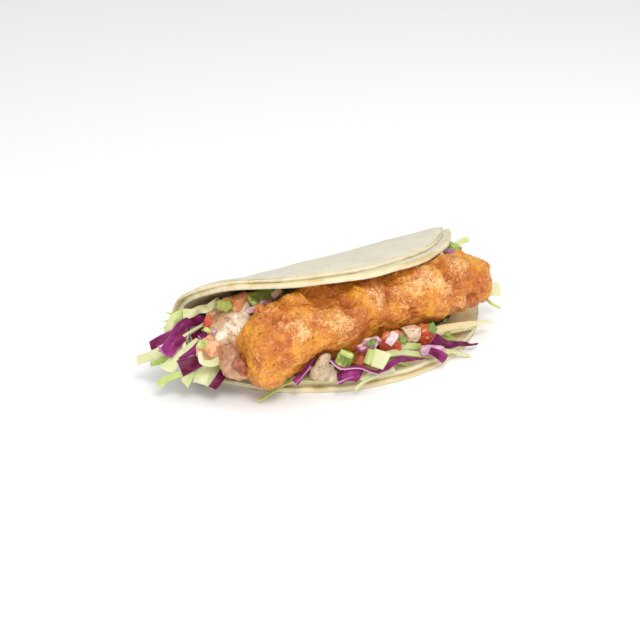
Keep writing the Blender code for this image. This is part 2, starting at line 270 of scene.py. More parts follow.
def tortilla(name, material):
    """A dense flat round with a soft, slightly ragged rim, folded like the CAD sheet it replaces."""
    centre, half_length, depth = SHEETS[name]
    bm = bmesh.new()
    bmesh.ops.create_grid(bm, x_segments=SHEET_CELLS, y_segments=SHEET_CELLS, size=1.0)
    for vertex in bm.verts:
        x, y, _ = vertex.co
        across = Vector((x * math.sqrt(1 - y * y / 2), y * math.sqrt(1 - x * x / 2), 0.0))
        around = across.normalized() * RAGGED_TURNS + Vector((0, 0, depth * RAGGED_SHIFT))
        nibble = noise.fractal(around, 0.6, 2.0, 4) * across.length**6
        turn = (math.degrees(math.atan2(across.y, across.x)) - BULGE[0]) % 360
        bulge = BULGE[2] * math.exp(-((min(turn, 360 - turn) / BULGE[1]) ** 2))
        vertex.co = across * (1 + bulge - RIM_RAGGED / HALF_WIDTH * (RAGGED_MEAN + nibble))
    bmesh.ops.scale(bm, vec=(HALF_WIDTH, half_length, 1.0), verts=bm.verts)
    bmesh.ops.translate(bm, vec=(*centre, 0.0), verts=bm.verts)
    bmesh.ops.solidify(bm, geom=bm.faces[:], thickness=THICKNESS)
    bmesh.ops.recalc_face_normals(bm, faces=bm.faces)
    middle = sum(vertex.co.z for vertex in bm.verts) / len(bm.verts)
    outer = 1 if depth else -1
    rim = [e for e in bm.edges if e.calc_face_angle() > 1.0 and (e.verts[0].co.z - middle) * outer > 0]
    bmesh.ops.bevel(bm, geom=rim, offset=RIM_BEVEL, segments=3, profile=0.5, affect="EDGES", material=-1)
    lowest = min(vertex.co.z for vertex in bm.verts)
    flat = bm.verts.layers.float_vector.new("flat")
    rim_layer = bm.verts.layers.float.new("rim")
    seam_layer = bm.verts.layers.float.new("seam")
    inside_layer = bm.verts.layers.float.new("inside")
    places = np.array([vertex.co for vertex in bm.verts])
    places[:, 2] += depth - lowest
    out = np.hypot((places[:, 0] - centre[0]) / HALF_WIDTH, (places[:, 1] - centre[1]) / half_length)
    thinning = RIM_THINNING * band(out, THIN_BAND) * (places[:, 1] > 0)
    if depth == 0:
        places[:, 2] += (THICKNESS - places[:, 2]) * thinning
    ends = folded(places[:, 0], places[:, 1], places[:, 2])
    for vertex, place, end, share in zip(bm.verts, places, ends, out):
        vertex[flat] = (place[0], place[1], 0.0)
        vertex[rim_layer] = float(band(share, RIM_BAND))
        seam = float(ease(1 - abs(place[2] - THICKNESS) / SEAM_REACH))
        vertex[seam_layer] = seam * float(band(share, SEAM_BAND))
        vertex[inside_layer] = float(place[2] > INSIDE_FROM)
        vertex.co = Vector(end)
    bmesh.ops.recalc_face_normals(bm, faces=bm.faces)
    bm.normal_update()
    for vertex in bm.verts:
        spot = Vector(vertex[flat])
        puff = noise.fractal(spot / SHEET_PUFFS[0], 0.7, 2.0, 3) * SHEET_PUFFS[1]
        puff += noise.noise(spot / SHEET_DIMPLES[0]) * SHEET_DIMPLES[1]
        vertex.co += vertex.normal * puff * float(band(vertex.co.z, LYING))
    return serve(name, bm, [material], [name])


def tortilla_finish():
    """Floury and matt, with freckles browned on the griddle; yellow inside, partly a stain and partly a
    painted golden glow; at the rim's seam, painted shade in patches and painted light elsewhere.
    """
    finish = Finish("tortilla", place="flat", Subsurface_Weight=0.2, Subsurface_Scale=0.0015)
    finish.shader.inputs["Subsurface Radius"].default_value = (1.0, 0.7, 0.4)
    flour = finish.grain(0.0090, 5.0, roughness=0.65)
    streaks = finish.grain(0.0024, 3.0, stretch=(0.12, 1.0, 1.0))
    freckles = finish.span(finish.grain(0.0046, 3.0, roughness=0.6), 0.62, 0.72)
    pores = finish.cells(0.0010)
    rim = finish.own("rim")
    base = finish.mix(finish.span(flour, 0.36, 0.64), (0.64, 0.60, 0.475), (0.57, 0.535, 0.43))
    base = finish.mix(finish.span(streaks, 0.42, 0.70) * 0.5, base, (0.69, 0.65, 0.49))
    clouds = finish.grain(0.0150, 4.0, warp=0.5)
    base = finish.mix(finish.span(clouds, 0.52, 0.66) * 0.6, base, (0.70, 0.60, 0.47))
    base = finish.mix(finish.span(clouds, 0.46, 0.34) * 0.6, base, (0.63, 0.63, 0.44))
    base = finish.mix(freckles * 0.35, base, (0.56, 0.45, 0.25))
    # Yellow inside the fold: partly a sauce stain, partly a painted golden glow of light bounced between the
    # sheets.
    stain_and_glow = finish.mix(finish.span(flour, 0.35, 0.65), (0.74, 0.53, 0.19), (0.79, 0.65, 0.34))
    base = finish.mix(finish.own("inside") * (1 - rim * 0.8) * 0.95, base, stain_and_glow)
    edging = finish.mix(finish.span(streaks, 0.35, 0.6), (0.58, 0.49, 0.28), (0.64, 0.58, 0.39))
    base = finish.mix(rim * 0.65, base, edging)
    # Along the seam between the sheets: painted shade in patches for the dark line, and elsewhere a golden
    # tint, painted light that offsets the real shadow in the groove.
    seam_shade_patches = finish.span(finish.grain(0.0180, 2.0), 0.44, 0.56)
    seam_light_and_shade = finish.mix(seam_shade_patches, (0.72, 0.60, 0.34), (0.54, 0.38, 0.12))
    base = finish.mix(finish.own("seam") * 0.85, base, seam_light_and_shade)
    fine = finish.bump(pores, 0.0002, 0.25)
    dimples = finish.bump(finish.grain(0.0020, 4.0, roughness=0.65), 0.0005, 0.45, fine)
    dimples = finish.bump(streaks, 0.0004, 0.5, dimples)
    rough = finish.span(flour, 0.2, 0.8, 0.55, 0.72)
    return finish.wear(Base_Color=base, Roughness=rough, Normal=dimples)


tortilla_material = tortilla_finish()
for sheet in SHEETS:
    tortilla(sheet, tortilla_material)


# ---- Fish ---------------------------------------------------------------------------------------
# One stick of white fish, dipped in batter and deep fried. The crust is golden, lumpy, craggy and oily,
# with painted glints on its high spots, painted shade in its folds, and flecks of pepper in the batter.

# The way out of the mouth. The crust is finest where it faces there, by at least the cosine FISH_FINER.
OUTWARD = Vector((-0.41, -0.80, 0.44))
FISH_SUBDIVISIONS = 3
FISH_FINER = 0.55
# How far the smoothed crust goes back to the solid's faces, and what it keeps clear of the tortilla.
FISH_FULLNESS = 0.7
FISH_CLEARANCE = 0.0002
# The batter's relief, each kind as its size and height: lumps, puffs with creases between them, beads,
# a crinkle, and how far the crinkle and the forms stray.
BATTER_LUMPS = ((0.0090, 0.0006), (0.0040, 0.0006), (0.0015, 0.00026))
BATTER_PUFFS = ((0.0080, 0.0008), (0.0034, 0.0006))
PUFF_CREASE = 0.12
PUFF_MEAN = 0.27
PUFF_SHIFT = Vector((7, 3, 1))
BATTER_BEADS = (0.0012, 0.00014)
BATTER_CRINKLE = (0.0021, 0.0008)
CRINKLE_MEAN = 0.22
CRINKLE_STRAY = 400
CRINKLE_SHARE = (0.45, 0.7)
BATTER_WANDER = ((0.0060, 0.0018), (0.0022, 0.0008))
FORM_EDGE = 1.4
# How high the batter stands, for its colour: painted shade where it is low, more pale specks and painted
# glints where it is high. Its forms and its lumps count for less than the rest.
STAND_SPAN = 0.0016
FORM_STAND = 0.4
LUMP_STAND = 0.5
# Every crumpled surface below uses one noise, whose wandering vectors need a fixed seed.
NOISE_SEED = 4
noise.seed_set(NOISE_SEED)
# Where the batter has set in knobs, folds and hollows: place, reach and height, all in millimetres, and the
# crust there: above 0 pale, partly dry crust and partly painted sheen and glints, below 0 smooth and golden.
BATTER_FORMS = (
    ((-53.0, -56.5, 38.2), 2.8, 2.4, 0.0),
    ((-37.0, -56.5, 39.4), 4.2, 2.6, 0.1),
    ((-61.5, -60.0, 32.0), 3.6, 1.8, 0.0),
    ((-56.0, -63.5, 34.0), 3.0, 1.6, 0.2),
    ((-48.3, -61.5, 37.6), 2.8, 1.5, 0.4),
    ((-47.2, -69.2, 33.8), 2.4, 1.3, 0.4),
    ((-48.8, -66.1, 35.7), 1.9, -1.5, 0.0),
    ((-41.7, -70.9, 31.1), 5.0, 1.3, 0.55),
    ((-34.5, -70.0, 31.0), 2.8, -1.1, 0.0),
    ((-61.0, -70.6, 22.6), 3.2, -1.4, 0.3),
    ((-57.4, -73.9, 15.6), 4.6, 1.0, 0.1),
    ((-53.0, -73.5, 10.6), 4.6, 1.7, 0.0),
    ((-58.5, -71.5, 10.6), 3.0, 0.8, 0.0),
    ((-44.0, -74.5, 18.5), 3.4, 0.8, 0.2),
    ((-24.8, -62.0, 38.6), 8.5, -2.4, -0.1),
    ((-26.7, -68.5, 34.6), 7.0, 1.2, 0.45),
    ((-20.3, -70.0, 28.3), 7.0, 0.5, 0.45),
    ((-36.7, -71.0, 32.4), 5.0, 0.4, 0.35),
    ((-15.5, -65.3, 34.0), 3.8, -1.5, -0.1),
    ((-10.2, -61.0, 36.6), 4.2, 2.0, -1.0),
    ((-3.0, -60.0, 37.0), 4.4, 1.4, 0.1),
    ((1.2, -57.4, 36.6), 3.6, 1.5, 0.3),
    ((-1.6, -64.0, 33.6), 5.0, 0.9, 0.55),
    ((4.9, -62.6, 32.5), 3.2, -1.7, 0.0),
    ((9.2, -60.5, 32.8), 3.4, 1.0, 0.5),
    ((18.0, -60.2, 33.2), 5.0, 1.2, 0.6),
    ((11.4, -63.2, 27.5), 2.6, 1.5, 0.6),
    ((14.6, -63.6, 24.0), 2.2, -1.6, -0.2),
    ((6.8, -64.8, 24.6), 2.8, 1.2, 0.2),
    ((27.0, -57.4, 34.4), 6.4, 1.0, 0.7),
    ((18.5, -62.6, 26.5), 2.6, -1.2, 0.1),
    ((17.0, -63.4, 20.0), 2.6, -1.5, 0.0),
    ((24.8, -62.5, 23.0), 3.0, 1.0, -0.7),
    ((31.6, -61.4, 21.4), 3.6, 0.9, -0.6),
    ((28.8, -63.6, 22.9), 6.2, 1.2, 0.0),
    ((33.0, -60.0, 29.9), 5.0, 0.8, 0.55),
    ((35.4, -51.1, 37.4), 2.8, -1.8, 0.0),
    ((36.4, -57.2, 33.4), 2.8, -1.7, 0.0),
    ((40.0, -59.9, 29.5), 2.6, -1.4, 0.0),
    ((43.0, -55.0, 35.0), 5.0, 1.6, 0.5),
    ((50.0, -47.5, 38.4), 3.6, 1.8, 0.0),
    ((55.0, -56.0, 30.0), 4.6, 0.9, 0.0),
    ((40.6, -61.6, 22.0), 3.2, 1.4, 0.4),
    ((47.0, -59.3, 21.0), 3.0, -1.4, 0.0),
    ((59.0, -49.0, 22.0), 3.6, 1.2, 0.1),
    ((60.4, -49.6, 15.4), 4.0, 2.2, 0.1),
    ((53.0, -54.0, 14.0), 4.0, 1.0, -0.4),
    ((54.0, -50.5, 33.0), 6.0, 0.0, -0.7),
    ((-60.0, -64.0, 30.0), 7.0, 0.0, -0.5),
)


def evaluated(bm, kind, **settings):
    """The bmesh as one modifier leaves it."""
    mesh = bpy.data.meshes.new("rough")
    bm.to_mesh(mesh)
    bm.free()
    rough = bpy.data.objects.new("rough", mesh)
    bpy.context.scene.collection.objects.link(rough)
    modifier = rough.modifiers.new(kind, kind)
    for setting, value in settings.items():
        setattr(modifier, setting, value)
    bm = bmesh.new()
    bm.from_object(rough, bpy.context.evaluated_depsgraph_get())
    bpy.data.objects.remove(rough)
    bpy.data.meshes.remove(mesh)
    return bm


def copied(node, subdivisions):
    """A merged and subdivided copy of a CAD node's mesh."""
    bm = bmesh.new()
    bm.from_mesh(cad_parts[node].data)
    bmesh.ops.remove_doubles(bm, verts=bm.verts, dist=1e-5)
    if subdivisions == 0:
        return bm
    bmesh.ops.join_triangles(bm, faces=bm.faces, angle_face_threshold=0.8, angle_shape_threshold=0.8)
    return evaluated(bm, "SUBSURF", levels=subdivisions, render_levels=subdivisions)


def fish():
    """The fried stick, its crust raised from the solid it replaces."""
    bm = copied("fish", FISH_SUBDIVISIONS)
    bm.normal_update()
    fronts = {face for face in bm.faces if face.normal.dot(OUTWARD) > FISH_FINER}
    finer = [edge for edge in bm.edges if fronts.issuperset(edge.link_faces)]
    bmesh.ops.subdivide_edges(bm, edges=finer, cuts=1, use_grid_fill=True)
    bm.normal_update()
    tortilla_hull = BVHTree.FromBMesh(copied("tortilla_inner", 0))
    solid = BVHTree.FromBMesh(copied("fish", 0))
    stand = bm.verts.layers.float.new("stand")
    pale_and_sheen_layer = bm.verts.layers.float.new("pale")
    places, reaches, heights, pale_and_sheen_shares = (np.array(column, float) for column in zip(*BATTER_FORMS))
    places = places / 1000 + np.array(FOLD)
    for vertex in bm.verts:
        spot = vertex.co.lerp(solid.find_nearest(vertex.co)[0], FISH_FULLNESS)
        lumps = sum(noise.fractal(spot / size, 0.8, 2.0, 2) * high for size, high in BATTER_LUMPS)
        puffs = sum(
            (math.hypot(noise.noise(spot / size + PUFF_SHIFT), PUFF_CREASE) - PUFF_MEAN) * high
            for size, high in BATTER_PUFFS
        )
        size, high = BATTER_BEADS
        bead = (0.5 - noise.voronoi(spot / size)[0][0]) * high
        wander = sum((noise.noise_vector(spot / size) * high for size, high in BATTER_WANDER), Vector())
        away = np.linalg.norm(places - np.array(spot + wander), axis=1)
        near = ease(FORM_EDGE - away / (reaches / 1000))
        shaped = float(near @ heights) / 1000
        pale_and_sheen = min(float(near @ pale_and_sheen_shares), 1.0)
        size, high = BATTER_CRINKLE
        crinkle = (CRINKLE_MEAN - abs(noise.noise(spot / size + wander * CRINKLE_STRAY))) * high
        crinkle *= CRINKLE_SHARE[0] + max(pale_and_sheen, 0.0) * CRINKLE_SHARE[1]
        rise = shaped + lumps + puffs + bead + crinkle
        room = tortilla_hull.find_nearest(spot)[3] - FISH_CLEARANCE
        vertex.co = spot + vertex.normal * min(rise, max(room, 0.0))
        standing = shaped * FORM_STAND + puffs + lumps * LUMP_STAND + crinkle + bead
        vertex[stand] = 0.5 + standing / STAND_SPAN
        vertex[pale_and_sheen_layer] = max(pale_and_sheen, -1.0)
    return serve("fish", bm, [fish_finish()], ["fish"])


def fish_finish():
    """Golden crust with painted shade in its hollows and small pits, and pale specks, painted glints and a
    painted sheen, most on its high spots and pale zones; the pale specks and sheen are partly dry crust.
    """
    finish = Finish(
        "fried batter",
        Subsurface_Weight=0.06,
        Subsurface_Scale=0.0008,
        Specular_IOR_Level=0.3,
        Coat_Weight=0.25,
        Coat_Roughness=0.14,
    )
    finish.shader.inputs["Subsurface Radius"].default_value = (1.0, 0.45, 0.15)
    stand = finish.own("stand")
    pale = finish.own("pale")
    patches = finish.grain(0.0110, 3.0, warp=0.6)
    mottle = finish.grain(0.0028, 5.0, warp=0.3, roughness=0.75)
    crumbs = finish.grain(0.0015, 3.0, warp=0.4, roughness=0.7)
    blisters = finish.cells(0.0011)
    fine = finish.grain(0.0009, 3.0, roughness=0.7)
    gold = finish.mix(finish.span(patches, 0.38, 0.62), (0.49, 0.122, 0.007), (0.65, 0.240, 0.013))
    gold = finish.mix(finish.span(patches, 0.55, 0.68) * 0.5, gold, (0.76, 0.36, 0.032))
    gold = finish.mix(finish.span(pale, -0.15, -0.7) * 0.8, gold, (0.76, 0.36, 0.030))
    gold = finish.mix(finish.span(mottle, 0.47, 0.38) * 0.6, gold, (0.42, 0.098, 0.006))
    # Painted shade: darker brown where the batter stands low, in its hollows and creases.
    gold = finish.mix(finish.span(stand, 0.42, 0.05) * 0.75, gold, (0.34, 0.070, 0.006))
    # Pale zones and pale specks: partly dry crust, partly painted sheen; the brightest specks are painted
    # glints, more of them on the high spots.
    dry_haze_and_sheen = finish.span(mottle + pale * 0.14, 0.44, 0.66)
    gold = finish.mix(dry_haze_and_sheen * finish.span(pale, 0.0, 1.0) * 0.6, gold, (0.82, 0.43, 0.14))
    dry_specks_and_glints = finish.span(crumbs + pale * 0.10 + stand * 0.05, 0.57, 0.68)
    gold = finish.mix(dry_specks_and_glints * (0.28 + pale * 0.38), gold, (0.86, 0.47, 0.17))
    painted_glints = finish.span(fine + pale * 0.07 + stand * 0.03, 0.57, 0.66)
    gold = finish.mix(painted_glints * (0.30 + pale * 0.55), gold, (0.98, 0.70, 0.38))
    # Painted shade in the small pits, where the crumb bump is lowest.
    pits = finish.span(crumbs + pale * 0.04, 0.44, 0.36)
    gold = finish.mix(pits * 0.55, gold, (0.38, 0.085, 0.006))
    relief = finish.bump(fine, 0.0006, 0.9)
    relief = finish.bump(blisters, 0.0005, 0.5, relief)
    relief = finish.bump(crumbs, 0.0009, 0.7, relief)
    rough = finish.span(mottle, 0.3, 0.7, 0.44, 0.26)
    return finish.wear(Base_Color=gold, Roughness=rough, Normal=relief)


fried_fish = fish()


# ---- Slaw ---------------------------------------------------------------------------------------
# Cabbage, shredded by knife and tossed together raw: pale green strips, brighter outer ones, and
# purple strips whose cut edges show lilac. The heap fills the fold and hangs loose out of both ends.

# The planes that cut the heap back to its packed middle: a place on each, in millimetres, and its outside.
CORE_CUTS = (
    ((-72, 0, 0), (-1, 0.1, 0.1)),
    ((58, 0, 0), (1, 0, 0)),
    ((0, -57, 0), (0, -1, -0.25)),
    ((45, -50, 0), (0.7, -0.7, 0)),
    ((-62, 0, 24.5), (-0.25, 0, 1)),
    ((-66, -58, 13), (-0.3, -0.5, -0.8)),
)
CORE_MERGE = 0.0012
CORE_SINK = 0.0016
CORE_RELIEF = (0.003, 0.0006)
# A shred's cells along it and across it, and the steps of its path.
SHRED_CELLS = (10, 2)
BROAD_CELLS = (20, 4)
CURVE_STEPS = 16
PATH_STEPS = 40
HUG_STEPS = 7
HUG_SWERVE = 0.22
# Its edges wander in and out by this share, over this length, and a ruffle has this length.
WIDTH_WAVE = (0.10, 0.004)
RUFFLE_LENGTH = 0.0016
# How many shreds are strewn over the heap and over its cut left end, and where on the heap they may start,
# in millimetres. Left of LEFT_PART they run out of the fold and are shorter.
GREEN_FILL = 170
PURPLE_FILL = 90
GREEN_END = 34
PURPLE_END = 22
GREEN_SHADES = (0.1, 0.8)
PURPLE_SHADES = (0.0, 0.5)
END_SHADES = (0.0, 0.8)
END_FACING = -0.6
END_BEHIND = -42
FILL_SPAN = (-68, 30)
FILL_LOWEST = 7
HANGING_FROM = -48
HANGING_LOWEST = 15
LEFT_PART = -55
LEFT_LENGTH = (8, 15)
LEFT_SWERVE = (0, 0.5)
LEFT_DROP = (-0.3, 0.5)
FILL_LENGTH = (14, 30)
FILL_SWERVE = (0, 0.7)
FILL_DROP = (0, 0.4)
FILL_DEPTH = (0.5, 2.6)
FILL_WIDTH = (1.6, 3.6)
FILL_THICK = (0.6, 1.0)
FILL_TAPER = (0.5, 1.0)
FILL_ROLL = 15
FILL_CURL = (-0.2, 0.4)
FILL_SKEW = (-0.6, 0.6)
# The strips laid one by one: paths and sizes in millimetres, turns in degrees. The shade goes from pale to
# bright green, or from dark purple to lilac; below 0 a green strip is beige.
GREEN_STRIPS = (
    # leaves along the top of the left end
    dict(path=[(-58, -31, 30.6), (-62, -33.5, 31), (-65.6, -34.6, 30.6), (-69.3, -35.2, 31.2),
               (-72.7, -35, 30.2), (-76.5, -34.4, 30.4)],
         width=3.7, thick=0.9, curl=0.1, ruffle=1.5, roll=(-10, 15), shade=(-0.02, 0.16), cells=(40, 4)),
    dict(path=[(-74, -32.6, 29.8), (-78, -33.5, 29.4), (-81.6, -34, 27), (-83.8, -35, 23.4)],
         width=5.6, thick=0.7, curl=0.4, ruffle=0.6, taper=(0.8, 0.6), shade=(0.45, 0.1),
         cells=BROAD_CELLS),
    dict(path=[(-80.5, -32, 27.4), (-84.6, -31, 27.2)],
         width=1.6, thick=0.5, taper=(1, 0.1), shade=(0.5, 0.4)),
    dict(path=[(-82, -33, 25.6), (-86, -31.6, 24.4)], width=1.6, thick=0.5, taper=(1, 0.1)),
    dict(path=[(-79.4, -31, 29.4), (-82.2, -29, 30)],
         width=1.4, thick=0.5, taper=(1, 0.1), shade=(0.5, 0.5)),
    # strips in the middle of the left end
    dict(path=[(-66.5, -35, 24.8), (-69.5, -37, 24.7), (-74.4, -39, 24.3), (-78.8, -41.4, 24.2),
               (-81, -41.5, 23)],
         width=1.3, thick=1, shade=(0.15, 0)),
    dict(path=[(-80.8, -41.4, 23.4), (-80.3, -43, 22.5), (-80.2, -44.3, 20.9), (-81.2, -45, 19)],
         width=1.6, taper=(0.6, 1.2), shade=(0.05, 0.1)),
    dict(path=[(-74, -43.5, 22.4), (-78.5, -45, 19.9), (-82.3, -45.5, 18.2), (-86.5, -46.4, 15.6),
               (-89, -46, 12.6)],
         width=6.4, thick=0.9, taper=(0.25, 1.05), curl=0.2, skew=-0.3, shade=(0.25, 0.12),
         cells=BROAD_CELLS),
    dict(path=[(-80, -42, 19.5), (-84.6, -40.5, 18.6), (-87.8, -38.3, 17.4), (-92, -34.6, 14.6),
               (-95.8, -30.2, 11.5)],
         width=4.4, thick=0.9, taper=(0.9, 1), skew=0.3, shade=(0.2, 0.08), cells=BROAD_CELLS),
    dict(path=[(-84, -43, 16), (-87.4, -41.6, 15.6), (-90, -39.3, 13.7), (-92.3, -36.5, 12)],
         width=3.4, taper=(1, 0.6), curl=0.3, shade=(0.75, 0.95)),
    dict(path=[(-75, -47, 12.5), (-80.8, -49.3, 11.2), (-84, -49.6, 11.5), (-86.8, -49, 11.2),
               (-89.6, -47.1, 9.6), (-92.6, -45.7, 6.9)],
         width=2.5, thick=1.1, taper=(0.9, 1.05), curl=0.2, skew=-0.2, shade=(0.6, 0.45)),
    dict(path=[(-74, -46, 14), (-77.9, -48.6, 12.3), (-80.3, -50.1, 11.1), (-82.4, -51.8, 10),
               (-84.2, -53.2, 9)],
         width=3.6, thick=0.9, skew=0.4, taper=(0.8, 1), shade=(0.35, 0.2)),
    dict(path=[(-66, -46.5, 16.5), (-70.2, -49.6, 14.4), (-73.4, -52, 12.4), (-75.8, -54, 10.2),
               (-77.5, -55.4, 8.2)],
         width=10, thick=1.4, taper=(1.1, 0.75), curl=0.35, shade=(0.3, 0.05), cells=BROAD_CELLS),
    dict(path=[(-77.4, -54, 22.4), (-77.5, -54.9, 19.6), (-77, -55.6, 18.2), (-73.4, -56, 17),
               (-68.6, -55, 17.2)],
         width=3.2, thick=1.2, taper=(0.5, 1), curl=0.1, shade=(-0.06, -0.1), cells=BROAD_CELLS),
    dict(path=[(-67, -37, 23.6), (-69.6, -38.6, 22.6)], width=2, thick=0.9, shade=(0.8, 0.7)),
    # strips that lie on the lower flap and over its edge
    dict(path=[(-30, -68, 7.2), (-38.4, -65.4, 6.2), (-45, -64, 4.8), (-51.7, -65.6, 3), (-58, -67.3, 1.6)],
         width=3, thick=0.7, facing=(0, -0.3, 1), taper=(1, 0.45), shade=(0.5, 0.55), cells=BROAD_CELLS),
    dict(path=[(-42, -63.5, 6), (-34, -68.5, 5.8), (-27, -71.5, 5.6), (-19, -73.5, 5.8)],
         width=2.2, facing=(0, -0.5, 1), shade=(0.2, 0.1)),
    dict(path=[(-20.8, -80, 3.5), (-17.8, -79.6, 5.2), (-13.3, -79, 6.2), (-8.3, -78.4, 6.8),
               (-3.1, -77.6, 6.8)],
         width=1.5, thick=0.7, shade=(0.15, 0.2), taper=(0.8, 1.1)),
    dict(path=[(-17, -78.6, 5.8), (-12.9, -78, 7), (-6.6, -77, 7.4), (-1, -76.2, 7.6)],
         width=4.6, facing=(-0.2, -0.6, 0.8), taper=(0.5, 0.9), curl=0.2, shade=(0.15, 0.02),
         cells=BROAD_CELLS),
    dict(path=[(-8, -74.5, 12.5), (-1.7, -74, 12.6), (5.3, -72.4, 11), (14.3, -71.6, 7.6),
               (22, -71.6, 5.4)],
         width=3.4, facing=(-0.2, -0.6, 0.8), taper=(0.8, 0.8), shade=(0.25, 0.1), cells=BROAD_CELLS),
    dict(path=[(25.4, -66.6, 12.9), (31.4, -64.4, 12.4), (40, -62.2, 10.6), (48.6, -60, 9),
               (58.9, -57.8, 6.9)],
         width=4.9, thick=0.9, taper=(1, 0.3), curl=0.2, ruffle=0.2, shade=(-0.45, -0.15),
         cells=BROAD_CELLS),
    dict(path=[(20, -67, 13), (29, -65.6, 11.6), (38.8, -63, 9.6), (50, -59.5, 7.2)],
         width=3, facing=(-0.2, -0.5, 0.9), taper=(0.9, 0.5), shade=(0.2, 0.35)),
    dict(path=[(24, -71, 6.4), (28.5, -71.8, 5.9), (34.1, -71, 3.6), (37.9, -71.5, 1.6),
               (40.3, -72.4, 0.7)],
         width=3.6, facing=(0, -0.3, 1), taper=(0.8, 0.3), shade=(0.15, 0.05)),
    dict(path=[(4, -71, 13), (9.5, -70.4, 12), (17, -68.5, 9)],
         width=4.4, taper=(0.6, 0.6), shade=(0.3, 0.4)),
    dict(path=[(26, -65, 9.5), (31, -65.6, 8.4), (36, -64.4, 7.4)],
         width=2.6, facing=(0, -0.3, 1), shade=(0.5, 0.95)),
    # ends beyond the right of the fish
    dict(path=[(58, -46, 15), (62.2, -50, 13.9), (63.5, -53, 12.6), (66.3, -56, 11.1)],
         width=1.8, taper=(0.8, 0.6), shade=(0.6, 0.5)),
    dict(path=[(57, -42, 17), (62, -45.5, 16.6), (66.5, -46.8, 16.4), (72, -46.4, 15.6)],
         width=6.6, thick=0.9, taper=(0.8, 0.95), shade=(0.1, 0.04)),
    dict(path=[(54, -26, 29), (59, -27.6, 31.8), (63.3, -26.4, 33), (68, -25, 32.8)],
         width=4, thick=0.9, curl=0.2, taper=(0.9, 0.7), shade=(0, 0.2)),
)
